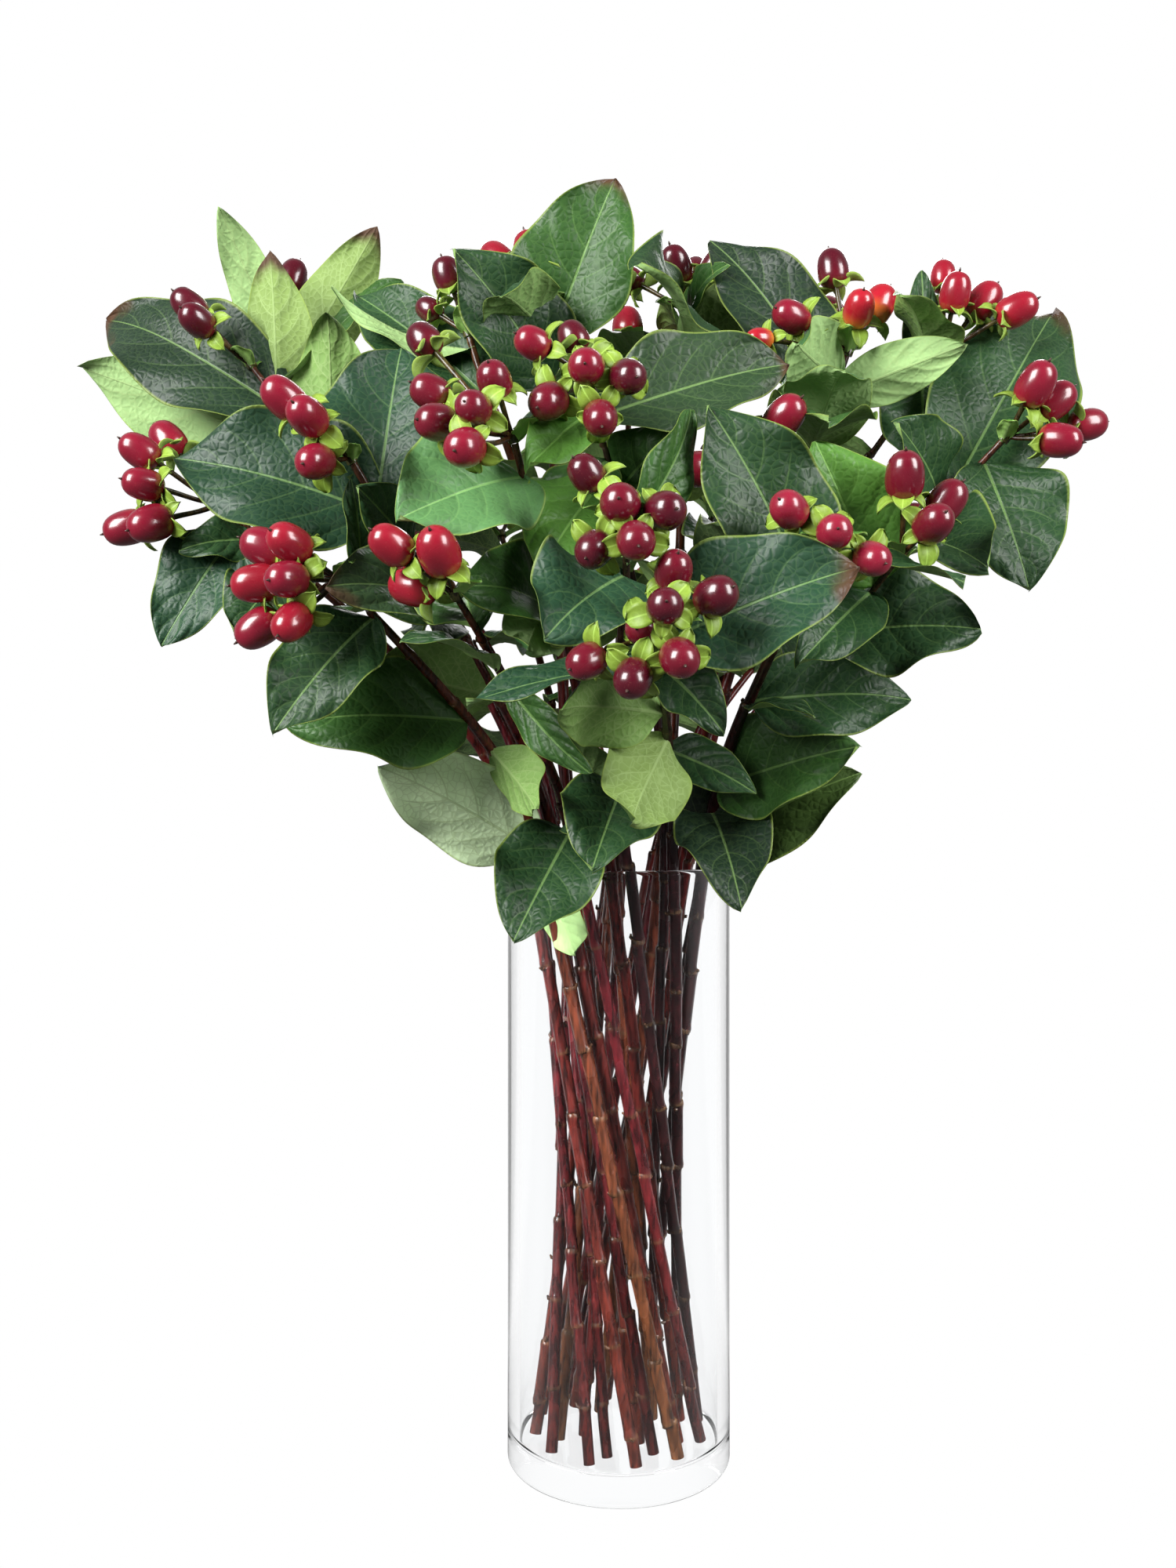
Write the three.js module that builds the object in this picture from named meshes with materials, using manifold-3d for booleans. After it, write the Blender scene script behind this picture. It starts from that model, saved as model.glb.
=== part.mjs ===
// A bunch of cut hypericum standing in a clear glass cylinder: leafy stems that twist through one waist,
// each with a head of berries at its tip. Millimetres, +Z up, origin at the middle of the vase's underside.
import * as THREE from 'three';
import { mergeVertices } from 'three/addons/utils/BufferGeometryUtils.js';
import Module from 'manifold-3d';

const wasm = await Module();
wasm.setup();

// ---- driving dimensions ----
const CLEARANCE = 0.3; // air between neighbouring pieces

const VASE = { radius: 38.1, height: 203.2, wall: 3.7, floor: 9, heel: 0.8, facets: 32 };

// The stems lie on three ruled surfaces that share one waist, so that none meets its neighbour.
const WAIST_HEIGHT = 101;
const NECK_HEIGHT = 206; // where a stem leaves its ruling and bends out to its head
const FOOT_HEIGHT = 10.2; // middle of a cut end, which leans on the vase's floor
const RULING = {
  outer: { waist: 20, lean: 0.228 },
  middle: { waist: 13, lean: 0.2 },
  inner: { waist: 6.5, lean: 0.13 },
};
const CANE = { thin: 1.65, thick: 2.25, tipShare: 0.55, sides: 5, rings: [0, 0.25, 0.5, 0.75, 1] };
const BEND = { along: 0.33, back: 0.66, lift: 0.05 }; // of the stem above the neck, as shares of its reach

const LEAF = {
  root: 0.6, thickness: 0.8, fullest: 0.8, bluntness: 0.75,
  broadStations: [0.17, 0.44, 0.76], narrowStations: [0.26, 0.68], narrow: 0.56,
};
// What differs from leaf to leaf: the fold in degrees, the bow as a share of length, the ripple in mm.
const BLADE = { fold: [6, 22], bow: [0.02, 0.09], ripple: [-1.2, 1.2] };

// Leaves by rule: opposite pairs up the stem, each pair crossed to the one before.
const PAIRS = {
  near: { gap: 26, most: 5 }, far: { gap: 40, most: 6 },
  belowTip: 7, lowest: 212, turn: 45, sway: 15, rise: [0, 25], droop: 9,
  length: [42, 56], width: [0.5, 0.64], lean: 0.7, apart: 0.6, alike: 0.3,
};
// A leaf with no room turns on its root by these degrees, and is made shorter only after that.
const GIVE = {
  turns: [0, 9, 18, 27, 36], lengths: [1, 0.8],
  ways: [[1, 0], [-1, 0], [0, 1], [0, -1], [1, 1], [-1, 1], [1, -1], [-1, -1]],
};

const BERRY = { radius: 5.7, length: 15, sides: 5, shoulder: [-0.4, 0.94], crown: [0.45, 0.9] };
const CALYX = { reach: 5.9, notch: 3, above: 0.8 };
const STALK = { radius: 0.75, sides: 3, flare: 0.2, below: 1.6 };
const SEAT = { radius: 1.9, length: 3.2, sides: 5, taper: 0.8, first: 0.5, next: 0.07 };
// A far head's berries: a loose ring above and beyond the tip.
const FAN = { out: 15, up: 15, tilt: 7, spread: 13, sizes: [0.88, 1.08] };

// The second number of each draw, so that no two draws are the same one.
const DRAW = {
  cane: 1, fan: 40, berry: 50, sway: 60, rise: 70, length: 90, width: 110, fold: 130, bow: 150, ripple: 170,
};

// Which way a leaf's upper side looks. The front is -Y.
const FACING = {
  front: [0, -1, 0.35],
  back: [0, 1, 0.3],
  up: [0, -0.45, 1],
  down: [0, 0.35, -1],
  left: [-1, -0.7, 0.3],
  right: [1, -0.7, 0.3],
};

// One row for each stem: its ruling and the direction of its waist point in degrees, its tip, its berries'
// middles, and its leaves as [height on the stem, tip x, y, z, facing, width as a share of length].
// berry sizes: a fourth number scales that berry.
const STEMS = [
  {
    ruling: 'middle', turn: 245, tip: [-128, 10, 377],
    berries: [[-143, -8, 388], [-149, 4, 397, 0.9]],
    leaves: [
      [360, -192, 37, 408, 'front', 0.46], [342, -193, 36, 384, 'back', 0.45],
      [366, -125, 24, 422, 'back', 0.45], [342, -100, 0, 393, 'back', 0.6],
    ],
  },
  {
    ruling: 'outer', turn: -126, tip: [-130, -20, 322],
    berries: [[-156, -28, 339], [-153, -34, 327], [-150, -36, 314], [-162, -23, 315], [-151, -14, 346]],
    leaves: [
      [317, -148, -30, 275, 'front', 0.6], [312, -141, -34, 307, 'front', 0.6],
      [303, -121, -45, 280, 'front', 0.7],
    ],
  },
  {
    ruling: 'outer', turn: -96, tip: [-83, -65, 291],
    berries: [
      [-96, -82, 300], [-96, -86, 289], [-95, -84, 277], [-106, -68, 301], [-108, -71, 290],
      [-108, -69, 277],
    ],
    leaves: [
      [282, -108, -75, 250, 'front', 0.6], [287, -83, -60, 324, 'right', 0.35],
      [251, -100, -62, 251, 'front', 0.6], [208, -77, -40, 238, 'back', 0.55],
      [242, -25, -60, 223, 'back', 0.45], [192, -19, -26, 166, 'back', 0.6],
    ],
  },
  {
    ruling: 'middle', turn: -85, tip: [-83, -50, 330],
    berries: [[-102, -62, 347], [-93, -72, 339], [-91, -70, 326]],
    leaves: [
      [319, -71, -40, 374, 'front', 0.8], [314, -138, -55, 336, 'front', 0.65],
      [304, -76, -66, 323, 'front', 0.7], [285, -88, -82, 285, 'front', 0.6],
      [259, -72, -60, 261, 'back', 0.55],
    ],
  },
  {
    ruling: 'middle', turn: 205, tip: [-130, 45, 396],
    berries: [[-140, 48, 418], [-123, 52, 424], [-135, 62, 428]],
    leaves: [
      [391, -143, 22, 439, 'back', 0.33], [385, -88, 34, 436, 'back', 0.42],
      [380, -80, 40, 419, 'left', 0.5],
    ],
  },
  {
    ruling: 'outer', turn: -66, tip: [-47, -90, 283],
    berries: [[-64, -102, 296], [-51, -104, 294], [-60, -86, 287]],
    leaves: [
      [265, -61, -98, 273, 'up', 0.4], [260, -11, -80, 234, 'left', 0.35],
      [216, -33, -57, 184, 'front', 0.75],
    ],
  },
  {
    ruling: 'middle', turn: -40, tip: [-32, -72, 331],
    berries: [
      [-37, -88, 345], [-42, -100, 334], [-44, -104, 322], [-53, -92, 332], [-56, -79, 344],
      [-60, -60, 365],
    ],
    leaves: [
      [322, -63, -98, 303, 'front', 0.85], [282, -43, -95, 288, 'front', 0.65],
      [290, -29, -88, 267, 'back', 0.5], [228, -28, -70, 247, 'up', 0.35],
      [224, -19, -60, 213, 'left', 0.4],
    ],
  },
  {
    ruling: 'inner', turn: -33, tip: [-50, -15, 380],
    berries: [[-57, -18, 400], [-64, -10, 391, 0.85]],
    leaves: [[375, -98, -5, 400, 'down', 0.3], [358, -92, 14, 403, 'front', 0.45]],
  },
  {
    ruling: 'inner', turn: 237, tip: [-24, -5, 391],
    berries: [[-30, -6, 412], [-42, 6, 414], [-27, 15, 411]],
    leaves: [
      [380, 1, 2, 433, 'front', 0.7], [367, -54, -30, 404, 'front', 0.66],
      [379, -40, 30, 437, 'front', 0.6],
    ],
  },
  {
    ruling: 'middle', turn: 5, tip: [-9, -58, 352],
    berries: [
      [-22, -80, 341], [-11, -84, 350], [1, -84, 347], [-7, -88, 334], [-27, -67, 362], [-15, -56, 367],
    ],
    leaves: [
      [327, -24, -88, 292, 'front', 0.6], [343, 52, -50, 362, 'front', 0.55],
      [320, 17, -60, 338, 'front', 0.8], [345, -26, -88, 325, 'front', 0.5],
      [331, -32, -70, 300, 'front', 0.5], [243, 27, -54, 220, 'front', 0.45],
    ],
  },
  {
    ruling: 'outer', turn: -36, tip: [0, -90, 303],
    berries: [[-11, -100, 316], [-2, -114, 305], [10, -114, 303], [2, -120, 294], [-9, -112, 293]],
    leaves: [
      [291, -21, -112, 272, 'front', 0.9], [299, 22, -88, 340, 'right', 0.4],
      [230, -10, -70, 202, 'front', 0.75],
    ],
  },
  {
    ruling: 'outer', turn: -6, tip: [9, -98, 272],
    berries: [
      [12, -116, 287], [9, -129, 276], [4, -113, 272], [23, -118, 280], [13, -126, 263], [1, -123, 258],
      [-11, -117, 263],
    ],
    leaves: [
      [263, -44, -95, 252, 'up', 0.35], [252, -20, -95, 253, 'back', 0.65],
      [245, 1, -82, 219, 'back', 0.75], [270, 62, -108, 290, 'front', 0.65],
      [264, 27, -98, 245, 'front', 0.6],
    ],
  },
  {
    ruling: 'outer', turn: 24, tip: [57, -76, 299],
    berries: [[45, -96, 307], [57, -100, 300], [68, -97, 293]],
    leaves: [
      [289, 24, -80, 340, 'front', 0.62], [296, 99, -75, 289, 'up', 0.35],
      [257, 91, -45, 259, 'front', 0.6], [255, 56, -70, 253, 'up', 0.3],
      [230, 71, -55, 243, 'front', 0.65], [222, 20, -62, 197, 'front', 0.6],
    ],
  },
  {
    ruling: 'outer', turn: 54, tip: [83, -60, 299],
    berries: [[82, -74, 321], [96, -66, 315], [89, -80, 306]],
    leaves: [
      [291, 66, -74, 333, 'front', 0.75], [278, 108, -60, 278, 'front', 0.8],
      [290, 50, -80, 265, 'front', 0.5], [209, 75, -30, 235, 'front', 0.55],
    ],
  },
  {
    ruling: 'outer', turn: 84, tip: [126, -20, 344],
    berries: [[134, -31, 360], [143, -22, 357], [142, -30, 342], [156, -15, 351]],
    leaves: [
      [327, 158, 20, 404, 'front', 0.5], [338, 131, -35, 294, 'front', 0.8],
      [311, 110, -60, 297, 'front', 0.7], [324, 85, -45, 344, 'front', 0.75],
    ],
  },
  {
    ruling: 'middle', turn: 110, tip: [112, 5, 380],
    berries: [[115, -4, 399], [114, 9, 409, 0.9], [127, 5, 399], [136, -4, 393]],
    leaves: [[371, 103, -5, 338, 'front', 0.9], [370, 111, 0, 408, 'front', 0.35]],
  },
  {
    ruling: 'middle', turn: 80, tip: [77, -8, 376],
    berries: [
      [73, -4, 407], [56, -24, 384], [79, -20, 388], [88, -6, 394], [74, 7, 396, 0.9],
      [62, 5, 399, 0.85], [45, -29, 375, 0.7],
    ],
    leaves: [
      [362, 107, -20, 391, 'back', 0.4], [348, 70, -45, 363, 'back', 0.65],
      [368, 52, -38, 366, 'back', 0.75], [346, 50, -60, 339, 'front', 0.6],
      [361, 43, 12, 428, 'front', 0.45],
    ],
  },
  {
    ruling: 'inner', turn: 57, tip: [26, 25, 401],
    berries: [[21, 20, 417], [36, 22, 418], [29, 36, 420], [4, 34, 417], [48, 30, 414, 0.8]],
    leaves: [
      [385, -3, -37, 390, 'front', 0.7], [390, 51, -10, 398, 'back', 0.55],
      [397, 39, -5, 412, 'left', 0.5],
    ],
  },
  {
    ruling: 'middle', turn: 45, tip: [38, -40, 330],
    berries: [[50, -52, 344], [23, -56, 327], [38, -58, 334, 0.9]],
    leaves: [[208, 52, -45, 221, 'front', 0.6]],
  },
  // The far side of the bunch, with its leaves and berries by rule.
  { ruling: 'outer', turn: 204, tip: [-88, 52, 345], berries: 3, leaves: [], far: true },
  { ruling: 'outer', turn: 174, tip: [-45, 82, 330], berries: 3, leaves: [], far: true },
  { ruling: 'outer', turn: 144, tip: [2, 104, 305], berries: 3, leaves: [], far: true },
  { ruling: 'middle', turn: 150, tip: [42, 84, 345], berries: 3, leaves: [], far: true },
  { ruling: 'outer', turn: 114, tip: [92, 58, 320], berries: 3, leaves: [], far: true },
  { ruling: 'inner', turn: 147, tip: [5, 48, 385], berries: 3, leaves: [], far: true },
];

// ---- helpers ----
const UP = new THREE.Vector3(0, 0, 1);
const vec = (list) => new THREE.Vector3(...list);
const rad = THREE.MathUtils.degToRad;
const STEEP = 0.2; // a direction this near to upright takes its side from X

// A number from 0 to 1 that always comes out the same for the same two whole numbers.
function chance(a, b) {
  const period = 2 ** 32;
  let n = (a * 7919 + b * 104729 + 12345) % period;
  for (let i = 0; i < 3; i++) n = (n * 1664525 + 1013904223) % period;
  return n / period;
}
const draw = ([low, high], a, b) => low + (high - low) * chance(a, b);

function solid(points, triangles) {
  return new wasm.Manifold(new wasm.Mesh({
    numProp: 3,
    vertProperties: new Float32Array(points.flatMap((p) => [p.x, p.y, p.z])),
    triVerts: new Uint32Array(triangles.flat()),
  }));
}

function bounds(manifold) {
  const { min, max } = manifold.boundingBox();
  return new THREE.Box3(vec(min), vec(max));
}

// Rings of points joined in order, each ring the same size or twice or half the size of the one before,
// closed by a point or a fan at each end.
function skin(rings) {
  const points = rings.flat();
  const triangles = [];
  let start = 0;
  for (let r = 0; r < rings.length; r++) {
    const count = rings[r].length;
    const next = start + count;
    if (r === 0) for (let i = 1; i < count - 1; i++) triangles.push([start, start + i + 1, start + i]);
    if (r === rings.length - 1) {
      for (let i = 1; i < count - 1; i++) triangles.push([start, start + i, start + i + 1]);
      break;
    }
    const above = rings[r + 1].length;
    for (let i = 0; i < Math.max(count, above); i++) {
      const a = start + Math.floor((i * count) / Math.max(count, above));
      const b = start + (Math.floor(((i + 1) * count) / Math.max(count, above)) % count);
      const c = next + Math.floor((i * above) / Math.max(count, above));
      const d = next + (Math.floor(((i + 1) * above) / Math.max(count, above)) % above);
      if (a !== b) triangles.push([a, b, d]);
      if (c !== d) triangles.push([a, d, c]);
    }
    start = next;
  }
  return solid(points, triangles);
}

// A ring of points round a centre, square to a direction; the radius may change from point to point.
function ring(centre, direction, count, radius) {
  const side = new THREE.Vector3(direction.y, -direction.x, 0);
  if (side.length() < STEEP) side.set(1, 0, 0).cross(direction);
  side.normalize();
  const other = new THREE.Vector3().crossVectors(direction, side).normalize();
  return Array.from({ length: count }, (_, i) => {
    const angle = (i / count) * 2 * Math.PI;
    const size = typeof radius === 'function' ? radius(i) : radius;
    return centre.clone()
      .addScaledVector(side, size * Math.cos(angle))
      .addScaledVector(other, size * Math.sin(angle));
  });
}

// ---- vase ----
function vaseGeometry() {
  const inside = VASE.radius - VASE.wall;
  const profile = [
    [0, 0], [VASE.radius - VASE.heel, 0], [VASE.radius, VASE.heel], [VASE.radius, VASE.height],
    [inside, VASE.height], [inside, VASE.floor + 1], [inside - 1, VASE.floor], [0, VASE.floor],
  ];
  const shell = new THREE.LatheGeometry(profile.map(([r, z]) => new THREE.Vector2(r, z)), VASE.facets);
  shell.deleteAttribute('normal');
  shell.deleteAttribute('uv');
  return mergeVertices(shell.rotateX(Math.PI / 2), 1e-4);
}

// ---- stems ----
function onRuling(stem, height) {
  const { waist, lean } = RULING[stem.ruling];
  const turn = rad(stem.turn);
  const climb = lean * (height - WAIST_HEIGHT);
  return new THREE.Vector3(
    waist * Math.cos(turn) + climb * Math.sin(turn),
    waist * Math.sin(turn) - climb * Math.cos(turn),
    height,
  );
}

// The bend from the neck of the vase to the stem's tip.
function upperStem(stem) {
  const neck = onRuling(stem, NECK_HEIGHT);
  const tip = vec(stem.tip);
  const reach = neck.distanceTo(tip);
  const heading = neck.clone().sub(onRuling(stem, WAIST_HEIGHT)).normalize();
  const first = neck.clone().addScaledVector(heading, BEND.along * reach);
  const second = neck.clone().lerp(tip, BEND.back).addScaledVector(UP, BEND.lift * reach);
  return new THREE.CubicBezierCurve3(neck, first, second, tip);
}

function stemAtHeight(stem, height) {
  if (height <= NECK_HEIGHT) return onRuling(stem, height);
  const curve = upperStem(stem);
  let low = 0;
  let high = 1;
  for (let halving = 0; halving < 40; halving++) {
    const middle = (low + high) / 2;
    if (curve.getPoint(middle).z < height) low = middle;
    else high = middle;
  }
  return curve.getPoint(low);
}

function caneSolid(stem, index) {
  const thick = draw([CANE.thin, CANE.thick], index, DRAW.cane);
  const curve = upperStem(stem);
  const foot = onRuling(stem, FOOT_HEIGHT);
  const rings = [ring(foot, onRuling(stem, NECK_HEIGHT).sub(foot).normalize(), CANE.sides, thick)];
  for (const u of CANE.rings) {
    const radius = thick * (1 - (1 - CANE.tipShare) * u);
    rings.push(ring(curve.getPoint(u), curve.getTangent(u), CANE.sides, radius));
  }
  return skin(rings);
}

// ---- berry heads ----
// A berry with its star of sepals and its stalk, as one skin from the stalk's root to the berry's tip.
function berrySolid(root, middle, size) {
  const axis = middle.clone().sub(root).normalize();
  const along = (distance) => middle.clone().addScaledVector(axis, distance);
  const half = (size * BERRY.length) / 2;
  const round = size * BERRY.radius;
  const star = (i) => (i % 2 ? CALYX.notch : CALYX.reach) * Math.min(1, size);
  const [shoulderAt, shoulder] = BERRY.shoulder;
  const [crownAt, crown] = BERRY.crown;
  return skin([
    ring(root, axis, STALK.sides, STALK.radius),
    ring(along(-half - STALK.below), axis, STALK.sides, STALK.radius + STALK.flare),
    ring(along(-half + CALYX.above), axis, 2 * BERRY.sides, star),
    ring(along(shoulderAt * half), axis, BERRY.sides, shoulder * round),
    ring(along(crownAt * half), axis, BERRY.sides, crown * round),
    [along(half)],
  ]);
}

// Middles and sizes of the berries: as given, or for a number a loose ring by rule.
function berryPlaces(stem, index) {
  if (!stem.far) return stem.berries.map(([x, y, z, size = 1]) => [vec([x, y, z]), size]);
  const outward = vec([stem.tip[0], stem.tip[1], 0]).normalize();
  const across = new THREE.Vector3().crossVectors(UP, outward);
  return Array.from({ length: stem.berries }, (_, k) => {
    const angle = (k / stem.berries) * 2 * Math.PI + chance(index, DRAW.fan);
    const middle = vec(stem.tip)
      .addScaledVector(outward, FAN.out + FAN.tilt * Math.cos(angle))
      .addScaledVector(UP, FAN.up - FAN.tilt * Math.cos(angle))
      .addScaledVector(across, FAN.spread * Math.sin(angle));
    return [middle, draw(FAN.sizes, index, DRAW.berry + k)];
  });
}

// A head is a knob just clear of the stem's tip, with the stalks of the berries rooted in it.
function headSolid(stem, index) {
  const curve = upperStem(stem);
  const heading = curve.getTangent(1);
  const up = (distance) => curve.getPoint(1).addScaledVector(heading, CLEARANCE + distance);
  let head = skin([
    ring(up(0), heading, SEAT.sides, SEAT.radius),
    ring(up(SEAT.length), heading, SEAT.sides, SEAT.taper * SEAT.radius),
  ]);
  berryPlaces(stem, index).forEach(([middle, size], k) => {
    head = head.add(berrySolid(up(SEAT.length * (SEAT.first + SEAT.next * k)), middle, size));
  });
  return head;
}

// ---- leaves ----
const leafWidth = (u) => Math.sin(Math.PI * u ** LEAF.fullest) ** LEAF.bluntness;

// A leaf's own axes: along its length, out of its upper side, and across it.
function leafAxes(leaf) {
  const along = leaf.tip.clone().sub(leaf.root).normalize();
  const normal = leaf.facing.clone().addScaledVector(along, -leaf.facing.dot(along)).normalize();
  return { along, normal, side: new THREE.Vector3().crossVectors(along, normal) };
}

// A leaf blade from its root on the stem to its tip, folded along the midrib and bowed along its length,
// with both faces split into the same triangles.
function leafSolid(leaf, grow = 0) {
  const length = leaf.tip.distanceTo(leaf.root);
  const { along, normal, side } = leafAxes(leaf);
  const halfWidth = (leaf.width * length) / 2;
  const at = (u, across, rise) => leaf.root.clone()
    .addScaledVector(along, length * u)
    .addScaledVector(side, across)
    .addScaledVector(normal, rise + leaf.bow * length * 4 * u * (1 - u));
  const middle = [at(LEAF.root / length, 0, 0), at(1 + grow / length, 0, 0)];
  leaf.stations.forEach((u, k) => {
    const reach = halfWidth * leafWidth(u) + grow;
    const rise = Math.tan(leaf.fold) * reach;
    const ripple = leaf.ripple * (k % 2 ? -1 : 1);
    middle.push(at(u, -reach, rise + ripple), at(u, 0, 0), at(u, reach, rise - ripple));
  });

  const ROOT = 0;
  const TIP = 1;
  const left = (k) => 2 + 3 * k; // the station's left, midrib and right points follow each other
  const last = left(leaf.stations.length - 1);
  const face = [
    [ROOT, left(0) + 1, left(0)], [ROOT, left(0) + 2, left(0) + 1],
    [last, last + 1, TIP], [last + 1, last + 2, TIP],
  ];
  for (let a = left(0); a < last; a += 3) {
    const b = a + 3;
    face.push([a, a + 1, b + 1], [a, b + 1, b], [a + 1, a + 2, b + 2], [a + 1, b + 2, b + 1]);
  }
  const lefts = leaf.stations.map((_, k) => left(k));
  const rim = [ROOT, ...lefts.map((k) => k + 2), TIP, ...lefts.reverse()];

  const count = middle.length;
  const lift = LEAF.thickness / 2 + grow;
  const points = [lift, -lift].flatMap(
    (rise) => middle.map((point) => point.clone().addScaledVector(normal, rise)),
  );
  const triangles = face.flatMap(([a, b, c]) => [[a, b, c], [a + count, c + count, b + count]]);
  rim.forEach((a, i) => {
    const b = rim[(i + 1) % rim.length];
    triangles.push([a, a + count, b], [b, a + count, b + count]);
  });
  return solid(points, triangles);
}

// The leaves by rule: opposite pairs from the tip down, but for those where a given leaf points that way.
function pairedLeaves(stem, index, given) {
  const outward = vec([stem.tip[0], stem.tip[1], 0]).normalize();
  const gap = stem.far ? PAIRS.far.gap : PAIRS.near.gap;
  const leaves = [];
  for (let pair = 0; stem.tip[2] - PAIRS.belowTip - gap * pair > PAIRS.lowest; pair++) {
    const height = stem.tip[2] - PAIRS.belowTip - gap * pair;
    const root = stemAtHeight(stem, height);
    const sway = draw([-PAIRS.sway, PAIRS.sway], index, DRAW.sway + pair);
    for (const half of [0, 1]) {
      const turn = Math.atan2(outward.y, outward.x) + rad(PAIRS.turn + 90 * pair + 180 * half + sway);
      const rise = rad(draw(PAIRS.rise, index, DRAW.rise + 2 * pair + half) - PAIRS.droop * pair);
      const level = new THREE.Vector3(Math.cos(turn), Math.sin(turn), 0);
      const away = level.multiplyScalar(Math.cos(rise)).addScaledVector(UP, Math.sin(rise));
      const taken = given.some((leaf) => Math.abs(leaf.root.z - height) < PAIRS.apart * gap
        && leafAxes(leaf).along.dot(away) > PAIRS.alike);
      if (taken) continue;
      leaves.push({
        root,
        tip: root.clone().addScaledVector(away, draw(PAIRS.length, index, DRAW.length + 2 * pair + half)),
        facing: outward.clone().multiplyScalar(PAIRS.lean).add(UP),
        width: draw(PAIRS.width, index, DRAW.width + pair),
        stations: LEAF.narrowStations,
        byRule: true,
      });
    }
  }
  return leaves;
}

// The leaves that a stem would like, the given ones first.
function wantedLeaves(stem, index) {
  const given = stem.leaves.map(([height, x, y, z, facing, width]) => ({
    root: stemAtHeight(stem, height),
    tip: vec([x, y, z]),
    facing: vec(FACING[facing]),
    width,
    stations: width < LEAF.narrow ? LEAF.narrowStations : LEAF.broadStations,
    byRule: false,
  }));
  return [...given, ...pairedLeaves(stem, index, given)].map((leaf, k) => ({
    ...leaf,
    fold: rad(draw(BLADE.fold, index, DRAW.fold + k)),
    bow: draw(BLADE.bow, index, DRAW.bow + k),
    ripple: draw(BLADE.ripple, index, DRAW.ripple + k),
  }));
}

// The places that a leaf may take, the wanted one first.
function* leafPoses(leaf) {
  const length = leaf.tip.distanceTo(leaf.root);
  const { along, normal, side } = leafAxes(leaf);
  for (const share of GIVE.lengths) {
    for (const size of GIVE.turns) {
      for (const [yaw, pitch] of size === 0 ? [[0, 0]] : GIVE.ways) {
        const away = along.clone()
          .addScaledVector(side, yaw * Math.tan(rad(size)))
          .addScaledVector(normal, pitch * Math.tan(rad(size)))
          .normalize();
        yield { ...leaf, tip: leaf.root.clone().addScaledVector(away, share * length) };
      }
    }
  }
}

// ---- the bunch ----
const group = new THREE.Group();
const materials = {
  glass: new THREE.MeshStandardMaterial({
    color: 0xe8f0ee, roughness: 0.05, metalness: 0, transparent: true, opacity: 0.35,
  }),
  foliage: new THREE.MeshStandardMaterial({ color: 0x2f5a3c, roughness: 0.45, metalness: 0 }),
  berries: new THREE.MeshStandardMaterial({ color: 0x9c1f33, roughness: 0.25, metalness: 0 }),
};

function addMesh(name, geometry, material) {
  const mesh = new THREE.Mesh(geometry, material);
  mesh.name = name;
  group.add(mesh);
}

function toGeometry(manifold) {
  const { numProp, vertProperties, triVerts } = manifold.getMesh();
  const positions = new Float32Array((vertProperties.length / numProp) * 3);
  for (let i = 0; i < positions.length / 3; i++) {
    positions.set(vertProperties.subarray(i * numProp, i * numProp + 3), 3 * i);
  }
  const geometry = new THREE.BufferGeometry();
  geometry.setAttribute('position', new THREE.BufferAttribute(positions, 3));
  geometry.setIndex(new THREE.BufferAttribute(new Uint32Array(triVerts), 1));
  return geometry;
}

const vase = vaseGeometry();
addMesh('vase', vase, materials.glass);
const vaseSolid = new wasm.Manifold(new wasm.Mesh({
  numProp: 3,
  vertProperties: new Float32Array(vase.attributes.position.array),
  triVerts: new Uint32Array(vase.index.array),
}));
const canes = STEMS.map(caneSolid);
const heads = STEMS.map(headSolid);

// Everything that a leaf keeps clear of, but for what its own stem owns.
const obstacles = [];
const addObstacle = (owner, body) => obstacles.push({ owner, body, box: bounds(body) });
addObstacle('vase', vaseSolid);
canes.forEach((body, i) => addObstacle(i, body));
heads.forEach((body, i) => addObstacle(`head ${i}`, body));

function isClear(leaf, owner) {
  const trial = leafSolid(leaf, CLEARANCE);
  const box = bounds(trial);
  return !obstacles.some((other) => other.owner !== owner && other.box.intersectsBox(box)
    && !trial.intersect(other.body).isEmpty());
}

// The given leaves take their places first, then those by rule find room among them.
const kept = STEMS.map(() => []);
for (const byRule of [false, true]) {
  STEMS.forEach((stem, i) => {
    const { most } = stem.far ? PAIRS.far : PAIRS.near;
    for (const leaf of wantedLeaves(stem, i)) {
      if (leaf.byRule !== byRule || (byRule && kept[i].length >= most)) continue;
      const placed = leafPoses(leaf).find((pose) => isClear(pose, i));
      if (!placed) continue;
      const body = leafSolid(placed);
      kept[i].push(body);
      addObstacle(i, body);
    }
  });
}

STEMS.forEach((stem, i) => {
  const number = String(i + 1).padStart(2, '0');
  const leafy = kept[i].reduce((whole, leaf) => whole.add(leaf), canes[i]);
  addMesh(`leafy_stem_${number}`, toGeometry(leafy), materials.foliage);
  addMesh(`berry_head_${number}`, toGeometry(heads[i]), materials.berries);
});

export default group;
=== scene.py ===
# A loose bunch of cut hypericum, leafy stems with heads of red berries, in a straight clear glass cylinder.
import math

import bmesh
import bpy
import numpy as np
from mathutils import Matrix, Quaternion, Vector


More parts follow.
